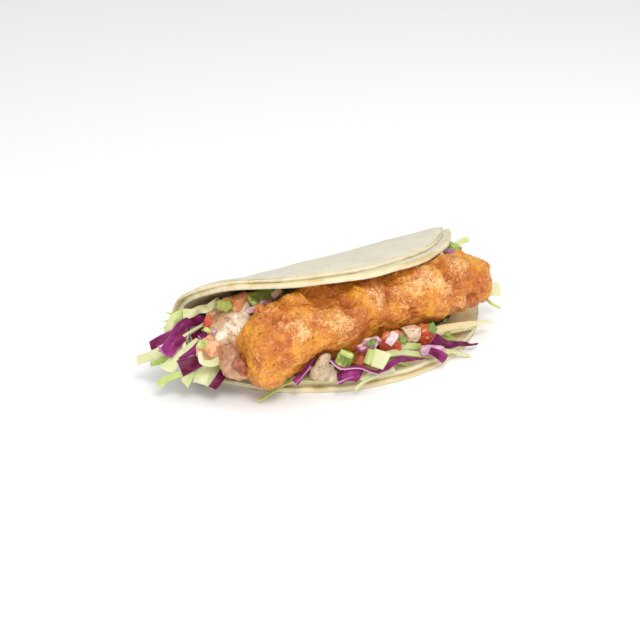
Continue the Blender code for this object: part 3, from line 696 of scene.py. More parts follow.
PURPLE_STRIPS = (
    # the broad pieces of the left end
    dict(path=[(-63.5, -33, 22.6), (-67.9, -35, 25.3), (-72, -36, 27), (-76.6, -38, 27.9),
               (-80, -38.7, 26.6), (-82, -39, 24)],
         width=4.8, curl=0.35, taper=(0.8, 1), shade=(0.2, 0.35), cells=BROAD_CELLS),
    dict(path=[(-77.5, -38.4, 25.8), (-82.4, -38, 24), (-86.7, -36.3, 22), (-90.7, -33, 18.2)],
         width=4.2, taper=(1.1, 0.9), skew=0.3, shade=(0.4, 0.3), cells=BROAD_CELLS),
    dict(path=[(-80.6, -42.6, 25.4), (-83.6, -43.6, 24.2), (-86.4, -44.5, 22.4), (-89.2, -45, 20)],
         width=7, curl=0.5, taper=(0.75, 1), skew=-0.2, roll=(0, -15), shade=(0.35, 0.5),
         cells=BROAD_CELLS),
    dict(path=[(-91.2, -44, 23.6), (-90.4, -45.5, 21.4), (-88.3, -46.2, 19.4), (-84.8, -46.2, 20)],
         width=0.7, thick=0.7, taper=(1, 0.6), shade=(0.85, 0.7)),
    dict(path=[(-68, -43, 22.2), (-73.8, -46.2, 21.2), (-77.6, -46.6, 19.3), (-80.9, -46.6, 17.9),
               (-83.8, -46.8, 16.9)],
         width=3.6, taper=(1.2, 0.4), curl=0.4, shade=(0.45, 0.3), cells=BROAD_CELLS),
    dict(path=[(-71, -47.8, 16.6), (-76, -49.2, 15.8), (-80.3, -49.4, 14.9), (-84.4, -49.2, 14)],
         width=6.8, curl=0.25, taper=(0.85, 1), shade=(0.05, 0.15), cells=BROAD_CELLS),
    dict(path=[(-65.5, -54, 13), (-68.4, -56, 11.4), (-71, -57.6, 10), (-73.4, -58.8, 8.6),
               (-75.2, -59.6, 7.6)],
         width=3.8, curl=0.1, skew=-0.3, shade=(0.05, 0.12), cells=BROAD_CELLS),
    dict(path=[(-66, -36, 21), (-70, -39, 20.8), (-75, -41, 20)],
         width=7, thick=0.7, curl=-0.3, shade=(0, 0)),
    dict(path=[(-69, -41, 22.5), (-73, -43.4, 22.6)], width=2.4, thick=0.7, shade=(0.5, 0.5)),
    # on the lower flap
    dict(path=[(-34.4, -69, 15.4), (-37.3, -70.2, 12.9), (-40.6, -71.4, 11), (-44.3, -72.4, 8.7)],
         width=2.6, thick=0.9, curl=0.6, shade=(0.25, 0.35), taper=(0.7, 1.1), cells=BROAD_CELLS),
    dict(path=[(-36.4, -71, 13.6), (-40.4, -72.6, 11.4), (-44.2, -73.6, 9)],
         width=0.5, thick=0.5, shade=(0.9, 0.8)),
    dict(path=[(-29.9, -76, 17.3), (-28.1, -77.4, 15.2), (-25.7, -78.8, 13.9), (-22.2, -79.4, 13.7),
               (-18, -79.6, 12.8), (-13.7, -79.8, 10.4), (-9.4, -79.8, 8.4)],
         width=1.5, thick=0.7, taper=(0.6, 1), roll=(60, 35), shade=(0.5, 0.35), cells=(40, 2)),
    dict(path=[(-11.6, -79.8, 8.9), (-6.4, -79.4, 9.3), (-2.2, -78.6, 10.7), (1.8, -77.4, 10.9),
               (5.2, -76.6, 9.6)],
         width=3, thick=0.7, taper=(0.45, 1.05), roll=(20, 0), curl=0.2, shade=(0.4, 0.3),
         cells=BROAD_CELLS),
    dict(path=[(3.8, -76.8, 10.2), (6.8, -76.2, 8.9), (10.1, -75.6, 7.9), (14.6, -74.8, 6.5)],
         width=2.5, thick=0.7, taper=(0.9, 0.12), roll=(0, 20), shade=(0.35, 0.25)),
    dict(path=[(-24, -76, 9.5), (-21, -78.4, 10.4), (-17.8, -79.6, 9.6)],
         width=4.4, shade=(0.1, 0.1), curl=0.4, skew=0.5),
    dict(path=[(22.6, -69.4, 12), (24.2, -69.8, 10.9), (26.4, -69.6, 9.2), (30.4, -68.9, 6.9),
               (34.8, -68.4, 6.2), (38.8, -67.8, 5), (43.3, -67, 3.2), (48, -66, 2)],
         width=4.8, thick=0.7, taper=(1.1, 0.12), ruffle=0.7, roll=(-10, 20), curl=0.2, shade=(0.3, 0.2),
         cells=(40, 4)),
    dict(path=[(16.5, -76.4, 11), (19.6, -77.6, 9.4), (22, -78.2, 7.4), (24, -77.6, 5.6)],
         width=4.8, thick=0.9, curl=0.4, taper=(0.55, 1), shade=(0.3, 0.4), cells=BROAD_CELLS),
    dict(path=[(51, -30, 32.6), (54.5, -31, 31.8), (58, -31.4, 29.6)], width=1.8, shade=(0.9, 0.8)),
)
slaw_dice = random.Random(11)


def at(x, y, z):
    """A place given in millimetres from the middle of the fold."""
    return FOLD + Vector((x, y, z)) / 1000


def smoothed(path, count):
    """Evenly spaced places on a soft curve through the path's points, the headings there, its length."""
    points = np.array([at(*point) for point in path])
    points = np.concatenate([[2 * points[0] - points[1]], points, [2 * points[-1] - points[-2]]])
    fine = []
    for i in range(1, len(points) - 2):
        t = np.linspace(0, 1, CURVE_STEPS, endpoint=i == len(points) - 3)[:, None]
        a, b, c, d = points[i - 1 : i + 3]
        bend = (2 * a - 5 * b + 4 * c - d) * t**2
        fine.append(0.5 * (2 * b + (c - a) * t + bend + (3 * b - a - 3 * c + d) * t**3))
    fine = np.concatenate(fine)
    far = np.concatenate([[0.0], np.cumsum(np.linalg.norm(np.diff(fine, axis=0), axis=1))])
    even = np.linspace(0.0, far[-1], count)
    places = np.stack([np.interp(even, far, fine[:, axis]) for axis in range(3)], -1)
    headings = np.gradient(places, axis=0)
    return places, headings / np.linalg.norm(headings, axis=1)[:, None], far[-1]


class Heap:
    """Thin pieces of one kind, cut flat and bent along their paths, gathered into one mesh."""

    blanks = {}

    def __init__(self, strips):
        self.bm = bmesh.new()
        for strip in strips:
            self.lay(**strip)

    def blank(self, cells):
        """A flat piece one unit long, wide and thick, whose cut faces are marked."""
        if cells not in self.blanks:
            bm = bmesh.new()
            bmesh.ops.create_grid(bm, x_segments=cells[0], y_segments=cells[1], size=0.5)
            bmesh.ops.solidify(bm, geom=bm.faces[:], thickness=1.0)
            middle = sum(vertex.co.z for vertex in bm.verts) / len(bm.verts)
            bmesh.ops.translate(bm, vec=(0, 0, -middle), verts=bm.verts)
            bmesh.ops.recalc_face_normals(bm, faces=bm.faces)
            cut = bm.faces.layers.float.new("cut")
            for face in bm.faces:
                face[cut] = float(abs(face.normal.z) < 0.5)
            for edge in bm.edges:
                edge.smooth = edge.calc_face_angle() < 1.0
            mesh = bpy.data.meshes.new("blank")
            bm.to_mesh(mesh)
            bm.free()
            self.blanks[cells] = mesh
        return self.blanks[cells]

    def lay(
        self,
        path,
        width,
        thick=0.8,
        facing=OUTWARD,
        roll=(0, 0),
        taper=(1, 1),
        curl=0.15,
        ruffle=0.0,
        skew=0.0,
        shade=(0.3, 0.3),
        cells=SHRED_CELLS,
    ):
        """One piece, its width and thickness in millimetres, its face turned to the facing."""
        blank = self.blank(cells)
        flat = np.empty(len(blank.vertices) * 3)
        blank.vertices.foreach_get("co", flat)
        along, across, height = flat.reshape(-1, 3).T
        along = along + 0.5
        across = across * 2
        places, headings, length = smoothed(path, PATH_STEPS)
        steps = np.linspace(0, 1, PATH_STEPS)
        place, heading = (
            np.stack([np.interp(along, steps, values[:, axis]) for axis in range(3)], -1)
            for values in (places, headings)
        )
        heading /= np.linalg.norm(heading, axis=1)[:, None]
        out = np.array(facing) - heading * (heading @ np.array(facing))[:, None]
        out /= np.linalg.norm(out, axis=1)[:, None]
        side = np.cross(out, heading)
        turn = np.radians(roll[0] + (roll[1] - roll[0]) * along)[:, None]
        out, side = out * np.cos(turn) + side * np.sin(turn), side * np.cos(turn) - out * np.sin(turn)
        half = width / 2000 * (taper[0] + (taper[1] - taper[0]) * along)
        seed = slaw_dice.uniform(0, 100)
        half = half * (1 + WIDTH_WAVE[0] * np.sin(along * length / WIDTH_WAVE[1] + seed))
        lift = height * thick / 1000 - curl * across**2 * half
        wave = np.sin(along * length / RUFFLE_LENGTH + seed + 1.3 * np.sign(across))
        lift = lift + ruffle / 1000 * wave * np.abs(across) ** 1.5
        shift = across * half * skew
        ends = place + side * (across * half)[:, None] + out * lift[:, None] + heading * shift[:, None]
        first = len(self.bm.verts)
        self.bm.from_mesh(blank)
        self.bm.verts.ensure_lookup_table()
        layers = self.bm.verts.layers
        flat_layer = layers.float_vector.get("flat") or layers.float_vector.new("flat")
        shade_layer = layers.float.get("shade") or layers.float.new("shade")
        edge_layer = layers.float.get("edge") or layers.float.new("edge")
        tone = shade[0] + (shade[1] - shade[0]) * along
        for i, vertex in enumerate(self.bm.verts[first:]):
            vertex.co = Vector(ends[i])
            vertex[flat_layer] = (along[i] * length, across[i] * half[i], seed / 10)
            vertex[shade_layer] = tone[i]
            vertex[edge_layer] = abs(across[i])


def packed():
    """The heap cut back to its packed middle, before its surface is broken up."""
    bm = copied("slaw", 0)
    bmesh.ops.remove_doubles(bm, verts=bm.verts, dist=CORE_MERGE)
    for place, outside in CORE_CUTS:
        everything = bm.verts[:] + bm.edges[:] + bm.faces[:]
        bmesh.ops.bisect_plane(bm, geom=everything, plane_co=at(*place), plane_no=outside, clear_outer=True)
        bmesh.ops.holes_fill(bm, edges=[edge for edge in bm.edges if edge.is_boundary])
    bmesh.ops.triangulate(bm, faces=bm.faces)
    return bm


def softened(bm, times, factor):
    """Rounds a mesh off by moving every vertex towards its neighbours' middle."""
    for _ in range(times):
        bmesh.ops.smooth_vert(
            bm, verts=bm.verts, factor=factor, use_axis_x=True, use_axis_y=True, use_axis_z=True
        )


def slaw_core():
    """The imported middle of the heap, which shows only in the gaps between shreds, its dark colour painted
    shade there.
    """
    bm = packed()
    bmesh.ops.subdivide_edges(bm, edges=bm.edges, cuts=1, use_grid_fill=True)
    softened(bm, 1, 0.5)
    bmesh.ops.recalc_face_normals(bm, faces=bm.faces)
    bm.normal_update()
    for vertex in bm.verts:
        relief = noise.fractal(vertex.co / CORE_RELIEF[0], 0.7, 2.0, 3) * CORE_RELIEF[1]
        vertex.co -= vertex.normal * (CORE_SINK - relief)
    return serve("slaw_core", bm, [core_shade_finish()], ["slaw"])


def core_shade_finish():
    """Green and purple cabbage so tangled that single shreds no longer show, much darker than the loose
    shreds: painted shade in the gaps.
    """
    finish = Finish("packed slaw", Roughness=0.5)
    threads = finish.grain(0.0030, 3.0, stretch=(0.25, 1.0, 1.0), warp=1.2)
    patches = finish.grain(0.0085, 2.0)
    green = finish.mix(finish.span(threads, 0.35, 0.65), (0.16, 0.17, 0.04), (0.46, 0.48, 0.18))
    purple = finish.mix(finish.span(threads, 0.35, 0.65), (0.030, 0.004, 0.012), (0.13, 0.012, 0.06))
    base = finish.mix(finish.span(patches, 0.46, 0.52), green, purple)
    return finish.wear(Base_Color=base, Normal=finish.bump(threads, 0.0010, 0.8))


def green_finish():
    """Crisp leaf, white-green to bright by its shade, with pale veins along it and moist cut edges."""
    finish = Finish(
        "green cabbage", place="flat", Subsurface_Weight=0.35, Subsurface_Scale=0.002, Coat_Roughness=0.2
    )
    finish.shader.inputs["Subsurface Radius"].default_value = (0.8, 1.0, 0.4)
    shade = finish.own("shade")
    veins = finish.grain(0.0011, 3.0, stretch=(0.15, 1.0, 1.0))
    patches = finish.grain(0.0050, 2.0)
    tone = shade + (patches - 0.5) * 0.5
    base = finish.mix(finish.span(tone, 0.0, 0.5), (0.59, 0.58, 0.335), (0.40, 0.48, 0.120))
    base = finish.mix(finish.span(tone, 0.5, 1.0), base, (0.27, 0.38, 0.04))
    # Below 0 a green strip turns beige: painted golden light from the tortilla behind, shining through the
    # leaf.
    base = finish.mix(finish.span(shade, -0.1, -0.4), base, (0.66, 0.49, 0.26))
    base = finish.mix(finish.span(veins, 0.50, 0.72) * 0.4, base, (0.64, 0.64, 0.36))
    base = finish.mix(finish.own("cut") * 0.5, base, (0.58, 0.60, 0.25))
    rough = finish.span(veins, 0.3, 0.7, 0.45, 0.30)
    return finish.wear(Base_Color=base, Roughness=rough, Normal=finish.bump(veins, 0.0004, 0.6))


def purple_finish():
    """Dark purple leaf with lilac veins, and lilac where it is cut."""
    finish = Finish(
        "purple cabbage", place="flat", Coat_Weight=0.08, Coat_Roughness=0.20, Specular_IOR_Level=0.12
    )
    veins = finish.grain(0.0012, 3.0, stretch=(0.2, 1.0, 1.0))
    patches = finish.grain(0.0040, 2.0)
    shade = finish.own("shade")
    tone = finish.span(patches - 0.5 + shade, 0.1, 0.7)
    base = finish.mix(tone, (0.090, 0.003, 0.024), (0.26, 0.022, 0.150))
    base = finish.mix(finish.span(shade, 0.7, 1.0), base, (0.60, 0.30, 0.52))
    base = finish.mix(finish.span(veins, 0.50, 0.75) * 0.25, base, (0.40, 0.08, 0.26))
    border = finish.span(finish.own("edge") + (veins - 0.5) * 0.2, 0.90, 1.0)
    base = finish.mix(border * 0.45, base, (0.50, 0.18, 0.38))
    base = finish.mix(finish.own("cut") * 0.85, base, (0.66, 0.36, 0.54))
    rough = finish.span(veins, 0.3, 0.7, 0.42, 0.26)
    return finish.wear(Base_Color=base, Roughness=rough, Normal=finish.bump(veins, 0.0004, 0.7))


def hug(hull, start, heading, length, depth):
    """A path that follows the heap's surface, this many millimetres under it, and how it faces."""
    place, path, facings = start, [], []
    for _ in range(HUG_STEPS):
        near, normal, _, _ = hull.find_nearest(place)
        path.append((near - normal * depth / 1000 - FOLD) * 1000)
        facings.append(normal)
        heading = heading - normal * heading.dot(normal)
        heading = heading.normalized() + normal.cross(heading).normalized() * slaw_dice.gauss(0, HUG_SWERVE)
        place = near + heading.normalized() * length / 1000 / (HUG_STEPS - 1)
    return path, sum(facings, Vector()).normalized()


def bare(spot):
    """Whether no shred may start here on the heap, by its place in millimetres."""
    hanging = spot.x < HANGING_FROM and spot.z < HANGING_LOWEST
    cut = any((spot - Vector(place)).dot(Vector(outside)) > 0 for place, outside in CORE_CUTS[3:])
    return hanging or cut or spot.z < FILL_LOWEST or not FILL_SPAN[0] < spot.x < FILL_SPAN[1]


def strew(heap, hull, faces, count, shades, skip=None):
    """Lays up to this many shreds at random on the hull, each around one of the given faces."""
    dice = slaw_dice
    for place, _ in dice.choices(faces, [area for _, area in faces], k=count):
        spot = (place - FOLD) * 1000
        if skip and skip(spot):
            continue
        if spot.x < LEFT_PART:
            heading = Vector((-1, dice.gauss(*LEFT_SWERVE), dice.gauss(*LEFT_DROP)))
            length = dice.uniform(*LEFT_LENGTH)
        else:
            heading = Vector((1, dice.gauss(*FILL_SWERVE), dice.gauss(*FILL_DROP)))
            length = dice.uniform(*FILL_LENGTH)
        start = place - heading.normalized() * length / 2000
        path, facing = hug(hull, start, heading, length, dice.uniform(*FILL_DEPTH))
        shade = dice.uniform(*shades)
        heap.lay(
            path,
            width=dice.uniform(*FILL_WIDTH),
            thick=dice.uniform(*FILL_THICK),
            facing=facing,
            roll=(dice.gauss(0, FILL_ROLL), dice.gauss(0, FILL_ROLL)),
            taper=(1, dice.uniform(*FILL_TAPER)),
            curl=dice.uniform(*FILL_CURL),
            skew=dice.uniform(*FILL_SKEW),
            shade=(shade, dice.uniform(*shades)),
        )


def fill_slaw(green, purple):
    """Shreds strewn over the heap, under the ones laid one by one, and over its cut left end."""
    heap = copied("slaw", 0)
    core = packed()
    bmesh.ops.subdivide_edges(core, edges=core.edges, cuts=2, use_grid_fill=True)
    core.normal_update()
    hull, core_hull = BVHTree.FromBMesh(heap), BVHTree.FromBMesh(core)
    faces = [(face.calc_center_median(), face.calc_area()) for face in heap.faces]
    end = [
        (face.calc_center_median(), face.calc_area())
        for face in core.faces
        if face.normal.x < END_FACING and face.calc_center_median().y - FOLD.y > END_BEHIND / 1000
    ]
    strew(green, hull, faces, GREEN_FILL, GREEN_SHADES, bare)
    strew(purple, hull, faces, PURPLE_FILL, PURPLE_SHADES, bare)
    strew(green, core_hull, end, GREEN_END, END_SHADES)
    strew(purple, core_hull, end, PURPLE_END, PURPLE_SHADES)
    heap.free()
    core.free()


slaw_core()
green_shreds, purple_shreds = Heap(GREEN_STRIPS), Heap(PURPLE_STRIPS)
fill_slaw(green_shreds, purple_shreds)
serve("slaw_green", green_shreds.bm, [green_finish()])
serve("slaw_purple", purple_shreds.bm, [purple_finish()])


# ---- Sauce --------------------------------------------------------------------------------------
# A thick cream sauce, beige with chilli and dotted with ground pepper, spooned in before the fish:
# one long dollop at the left end, which runs over the tomato there, and a small one in front.

SAUCE_LUMPS = ((0.0050, 0.0007), (0.0022, 0.0003), (0.0009, 0.0001))
SAUCE_VOXEL = 0.0006
# How many times, and how strongly, the spoonfuls run into each other.
SAUCE_FLOW = 11
FLOW_FACTOR = 0.6
# Each spoonful's middle and radii, in millimetres, and its tint: 0 beige, 1 brown with chilli, -0.3 white
# cream (partly real cream, partly painted highlight), -1 greyish.
SAUCE_LEFT = (
    ((-63.5, -44, 22), (6.5, 7, 7), 0.4),
    ((-64.5, -52, 18), (6.5, 7, 6), 0.6),
    ((-63.5, -57, 13.5), (5.5, 5.0, 4.2), 0.4),
    ((-64.5, -38.0, 27.4), (3.6, 3.6, 3.6), 0.3),
    ((-60.5, -37.0, 28.8), (3.6, 3.4, 3.2), 0.5),
    ((-56.0, -39.5, 30.6), (3.4, 3.0, 3.2), 0.0),
    ((-52.0, -39.5, 32.2), (2.4, 2.2, 2.6), 0.0),
    ((-49.2, -39.2, 33.4), (1.6, 1.6, 1.6), 0.0),
    ((-54.5, -41.5, 29.3), (3.2, 3.2, 3.2), -0.4),
    ((-57.0, -45.0, 27.3), (3.6, 3.4, 3.4), -0.45),
    ((-57.5, -49.0, 24.6), (3.6, 3.4, 3.4), -0.2),
    ((-59.5, -43.5, 29.2), (3.6, 3.4, 3.2), 0.05),
    ((-63.6, -43.6, 28.0), (4.2, 4.0, 3.4), 1.0),
    ((-62.0, -48.0, 26.8), (4.0, 3.4, 3.4), -0.35),
    ((-67.0, -46.6, 26.0), (3.4, 3.4, 3.2), 0.3),
    ((-66.2, -50.4, 24.6), (3.6, 3.4, 3.0), -0.5),
    ((-61.5, -52.0, 22.6), (3.6, 3.6, 3.4), 0.3),
    ((-65.6, -54.6, 21.0), (4.0, 3.6, 3.4), 1.0),
    ((-64.0, -57.0, 18.4), (4.0, 3.6, 3.6), 0.9),
    ((-67.4, -57.6, 16.6), (3.4, 3.4, 3.4), 0.5),
    ((-63.4, -60.0, 15.0), (4.0, 3.4, 3.2), 0.7),
    ((-67.6, -60.0, 13.6), (3.2, 3.2, 2.8), 0.4),
    ((-63.4, -62.0, 12.0), (3.4, 2.8, 2.6), 0.3),
    ((-51.6, -42.0, 30.2), (2.6, 2.6, 2.8), -0.45),
    ((-53.6, -45.6, 28.6), (3.0, 2.8, 3.0), -0.45),
    ((-56.0, -48.8, 27.2), (3.0, 2.8, 3.0), -0.45),
    ((-58.6, -51.6, 25.4), (3.0, 2.8, 3.0), -0.35),
)
SAUCE_FRONT = (
    ((-32.0, -70.2, 8.8), (4.8, 3.6, 3.0), -1.0),
    ((-30.3, -72.0, 17.0), (2.5, 2.0, 2.6), -1.0),
    ((-31.8, -72.0, 14.4), (3.0, 2.4, 2.8), -1.0),
    ((-34.0, -71.4, 11.2), (2.8, 2.6, 2.6), -1.0),
    ((-29.0, -71.6, 11.0), (3.0, 2.6, 3.0), -0.8),
    ((-26.9, -71.2, 7.4), (3.0, 2.6, 2.8), -0.4),
    ((-32.6, -71.4, 8.0), (3.4, 2.8, 2.4), -0.7),
)


def sauce_finish():
    """Cream swirled with chilli, soft and slightly wet."""
    finish = Finish(
        "peppered cream",
        Subsurface_Weight=0.25,
        Subsurface_Scale=0.0012,
        Coat_Weight=0.2,
        Coat_Roughness=0.22,
    )
    swirl = finish.grain(0.0050, 3.0, warp=1.2)
    cream = finish.grain(0.0018, 3.0, warp=0.5)
    tint = finish.own("tint")
    chilli = finish.span(tint + (swirl - 0.5) * 1.7, 0.15, 0.85)
    base = finish.mix(chilli, (0.50, 0.315, 0.175), (0.35, 0.128, 0.048))
    base = finish.mix(finish.span(swirl, 0.54, 0.66) * 0.35, base, (0.64, 0.45, 0.27))
    # White cream: partly the sauce's own cream, partly painted highlight.
    base = finish.mix(finish.span(tint, 0.0, -0.25), base, (0.77, 0.63, 0.47))
    base = finish.mix(finish.span(tint, -0.4, -0.9), base, (0.49, 0.375, 0.235))
    base = finish.mix(finish.span(cream, 0.56, 0.70) * 0.4, base, (0.62, 0.43, 0.25))
    base = finish.mix(finish.span(cream, 0.46, 0.36) * 0.5, base, (0.36, 0.180, 0.080))
    rough = finish.span(cream, 0.3, 0.7, 0.55, 0.36)
    return finish.wear(Base_Color=base, Roughness=rough, Normal=finish.bump(cream, 0.0005, 0.5))


def dollop(node, mounds, material):
    """Spoonfuls that have run together into one lumpy mass."""
    bm = bmesh.new()
    for place, radii, _ in mounds:
        shape = Matrix.Translation(at(*place)) @ Matrix.Diagonal((*Vector(radii) / 1000, 1))
        bmesh.ops.create_icosphere(bm, subdivisions=3, radius=1.0, matrix=shape)
    bm = evaluated(bm, "REMESH", voxel_size=SAUCE_VOXEL)
    softened(bm, SAUCE_FLOW, FLOW_FACTOR)
    bm.normal_update()
    tint_layer = bm.verts.layers.float.new("tint")
    for vertex in bm.verts:
        rise = sum(noise.fractal(vertex.co / size, 0.8, 2.0, 2) * high for size, high in SAUCE_LUMPS)
        near = [1 / (1e-6 + (vertex.co - at(*place)).length_squared) ** 2 for place, _, _ in mounds]
        vertex[tint_layer] = sum(w * tint for w, (_, _, tint) in zip(near, mounds)) / sum(near)
        vertex.co += vertex.normal * rise
    return serve(node, bm, [material], [node])


cream = sauce_finish()
sauces = [dollop("sauce_left", SAUCE_LEFT, cream), dollop("sauce_front", SAUCE_FRONT, cream)]


# ---- Tomato -------------------------------------------------------------------------------------
# Ripe tomato cut in dice: each keeps some tight red skin, and its cut faces are wet and pinker. Two at
# the left end are coated with the sauce that they lie in, and the wedge beside them is bare.

# Each piece's side with skin, how much sauce coats it (on tomato_front_b the pale coat is a painted
# highlight patch), how rounded it is, and its shift in millimetres.
TOMATO = {
    "tomato_top": ((1.0, 0.1, 0.25), 0.6, 0, (1.4, -1.8, 0.7)),
    "tomato_wedge": ((-0.6, -0.8, 0.2), 0.0, 4, (1.3, -3.0, -0.7)),
    "tomato_low": ((0.2, 1.0, 0.0), 0.85, 10, (0.6, 0.9, 1.1)),
    "tomato_front_a": ((0, -0.6, -0.8), 0.0, 0, (0, 0, 0)),
    # the pale coat on this dice is a painted highlight patch
    "tomato_front_b": ((-0.5, -0.6, -0.4), 0.15, 6, (0, 0, 0)),
    "tomato_front_c": ((0.1, -0.9, -0.3), 0.1, 2, (0, 0, 0)),
}
# One dark red-brown bit under the fish: its place and size in millimetres, its turn in degrees.
TOMATO_BIT = ((-64.0, -64.0, 16.6), (4.6, 3.0, 8.4), (0, -34, 10))
TOMATO_SKIN = (0.45, 0.65)
DICE_WARP = (0.0070, 0.0016)
DICE_LUMPS = ((0.0030, 0.0005), (0.0013, 0.0002))
DICE_SUBDIVISIONS = 3
DICE_SOFTENING = 0.7
DICE_BEVEL = 0.2


def roughened(bm, lumps=DICE_LUMPS):
    """Softened edges and uneven faces, as a knife leaves them."""
    bm.normal_update()
    for vertex in bm.verts:
        rise = sum(noise.fractal(vertex.co / size, 0.8, 2.0, 2) * high for size, high in lumps)
        warp = noise.noise_vector(vertex.co / DICE_WARP[0]) * DICE_WARP[1]
        vertex.co += vertex.normal * rise + warp
    bm.normal_update()
    return bm


def diced(node, softening, shift=(0, 0, 0)):
    """A CAD dice made uneven; softening rounds it further, and the shift is in millimetres."""
    bm = copied(node, DICE_SUBDIVISIONS)
    bmesh.ops.translate(bm, vec=Vector(shift) / 1000, verts=bm.verts)
    softened(bm, softening, DICE_SOFTENING)
    return roughened(bm)


def chopped(place, size, turn):
    """A small loose bit, its size in millimetres and its turn in degrees."""
    bm = bmesh.new()
    shape = Matrix.LocRotScale(at(*place), Euler([math.radians(a) for a in turn]), Vector(size) / 1000)
    bmesh.ops.create_cube(bm, size=1.0, matrix=shape)
    round_off = min(size) / 1000 * DICE_BEVEL
    bmesh.ops.bevel(
        bm, geom=bm.edges[:], offset=round_off, segments=1, profile=0.5, affect="EDGES", material=-1
    )
    bm = evaluated(bm, "SUBSURF", levels=DICE_SUBDIVISIONS, render_levels=DICE_SUBDIVISIONS)
    return roughened(bm, DICE_LUMPS[1:])


def skinned(bm, side, start, stop):
    """Marks as skin what faces this side, fully from the cosine stop on, and gives the bmesh back."""
    layer = bm.verts.layers.float.new("skin")
    side = Vector(side).normalized()
    for vertex in bm.verts:
        vertex[layer] = float(ease((vertex.normal.dot(side) - start) / (stop - start)))
    return bm


def tomato_finish(name, coat):
    """Wet flesh with paler fibres, tight red skin, and a cloudy coat of sauce."""
    finish = Finish(
        name, Subsurface_Weight=0.3, Subsurface_Scale=0.0015, Coat_Weight=0.5, Coat_Roughness=0.08
    )
    finish.shader.inputs["Subsurface Radius"].default_value = (1.0, 0.25, 0.1)
    skin = finish.own("skin")
    pulp = finish.grain(0.0022, 3.0)
    fibres = finish.grain(0.0008, 2.0, stretch=(1, 1, 0.3))
    flesh = finish.mix(finish.span(pulp, 0.38, 0.66), (0.54, 0.115, 0.028), (0.64, 0.215, 0.075))
    flesh = finish.mix(finish.span(fibres, 0.55, 0.75) * 0.35, flesh, (0.78, 0.42, 0.24))
    base = finish.mix(skin, flesh, (0.56, 0.050, 0.012))
    cloud = finish.span(finish.grain(0.0035, 3.0), 0.62 - coat * 0.35, 0.72 - coat * 0.35)
    base = finish.mix(cloud * (0.15 + coat) * (1 - skin * 0.7), base, (0.74, 0.40, 0.20))
    rough = finish.span(pulp, 0.3, 0.7, 0.30, 0.16)
    return finish.wear(Base_Color=base, Roughness=rough, Normal=finish.bump(pulp, 0.0006, 0.5))


def russet_tomato_finish():
    """Tomato in dark red-brown, darker than the dice."""
    finish = Finish("russet tomato", Coat_Weight=0.4, Coat_Roughness=0.1)
    pulp = finish.span(finish.grain(0.0022, 3.0), 0.38, 0.62)
    base = finish.mix(pulp, (0.22, 0.050, 0.020), (0.40, 0.130, 0.055))
    return finish.wear(Base_Color=base, Roughness=0.35)


for node, (skin_side, coat, softening, shift) in TOMATO.items():
    bm = skinned(diced(node, softening, shift), skin_side, *TOMATO_SKIN)
    serve(node, bm, [tomato_finish(node, coat)], [node])
serve("tomato_bit", chopped(*TOMATO_BIT), [russet_tomato_finish()])


# ---- Chilli -------------------------------------------------------------------------------------
# Green chilli, chopped raw: the skin is dark, tight and glossy, the flesh inside lighter and crisp. Three
# dice and three small bits lie loose on the filling.

# Each piece's side with skin, the skin's darkest and lightest colour, how rounded it is, and its shift in
# millimetres. A bit has its place, size and turn.
CHILLI = {
    "chilli_top": ((0.1, -0.3, 0.9), (0.10, 0.15, 0.025), (0.24, 0.32, 0.06), 4, (0, 0, 0)),
    "chilli_front": ((0.2, -0.6, 0.3), (0.13, 0.19, 0.012), (0.28, 0.40, 0.035), 20, (0, 0, 0)),
    "chilli_right": ((-0.2, -0.2, 1.0), (0.26, 0.38, 0.05), (0.44, 0.58, 0.12), 4, (-0.6, 0.9, 1.6)),
}
CHILLI_BITS = (
    ((-76.6, -55.4, 26.2), (4.2, 1.4, 3.4), (20, 20, 20)),
    ((-71.2, -47.0, 27.4), (3.2, 1.0, 1.8), (0, 40, -20)),
    ((-23.6, -77.2, 18.9), (6.6, 1.2, 2.0), (10, 24, -10)),
)
CHILLI_SKIN = (0.1, 0.35)
CHILLI_BIT_SKIN = ((0, -0.3, 1), 0.2, 0.9)
PALE_CHILLI = ((0.34, 0.44, 0.10), (0.52, 0.60, 0.20))


def chilli_finish(name, dark, light):
    """Glossy mottled skin, and matt lighter flesh with fibres."""
    finish = Finish(name, Coat_Weight=0.5, Coat_Roughness=0.08)
    skin = finish.own("skin")
    clouds = finish.grain(0.0025, 3.0)
    fibres = finish.grain(0.0009, 2.0, stretch=(0.4, 1, 1))
    flesh = finish.mix(finish.span(clouds, 0.4, 0.65), (0.34, 0.42, 0.08), (0.58, 0.62, 0.20))
    flesh = finish.mix(finish.span(fibres, 0.5, 0.7) * 0.5, flesh, (0.66, 0.70, 0.30))
    base = finish.mix(skin, flesh, finish.mix(finish.span(clouds, 0.38, 0.62), dark, light))
    rough = finish.span(clouds, 0.3, 0.7, 0.34, 0.20)
    return finish.wear(Base_Color=base, Roughness=rough, Normal=finish.bump(fibres, 0.0003, 0.5))


for node, (skin_side, dark, light, softening, shift) in CHILLI.items():
    bm = skinned(diced(node, softening, shift), skin_side, *CHILLI_SKIN)
    serve(node, bm, [chilli_finish(node, dark, light)], [node])
pale_chilli = chilli_finish("pale chilli", *PALE_CHILLI)
for number, bit in enumerate(CHILLI_BITS):
    bm = skinned(chopped(*bit), *CHILLI_BIT_SKIN)
    serve(f"chilli_bit_{number}", bm, [pale_chilli])


# ---- Onion --------------------------------------------------------------------------------------
# Red onion, chopped raw: translucent white layers whose outer side is stained purple. Three dice and some
# small bits lie loose on the filling, and two of them are thick with sauce.

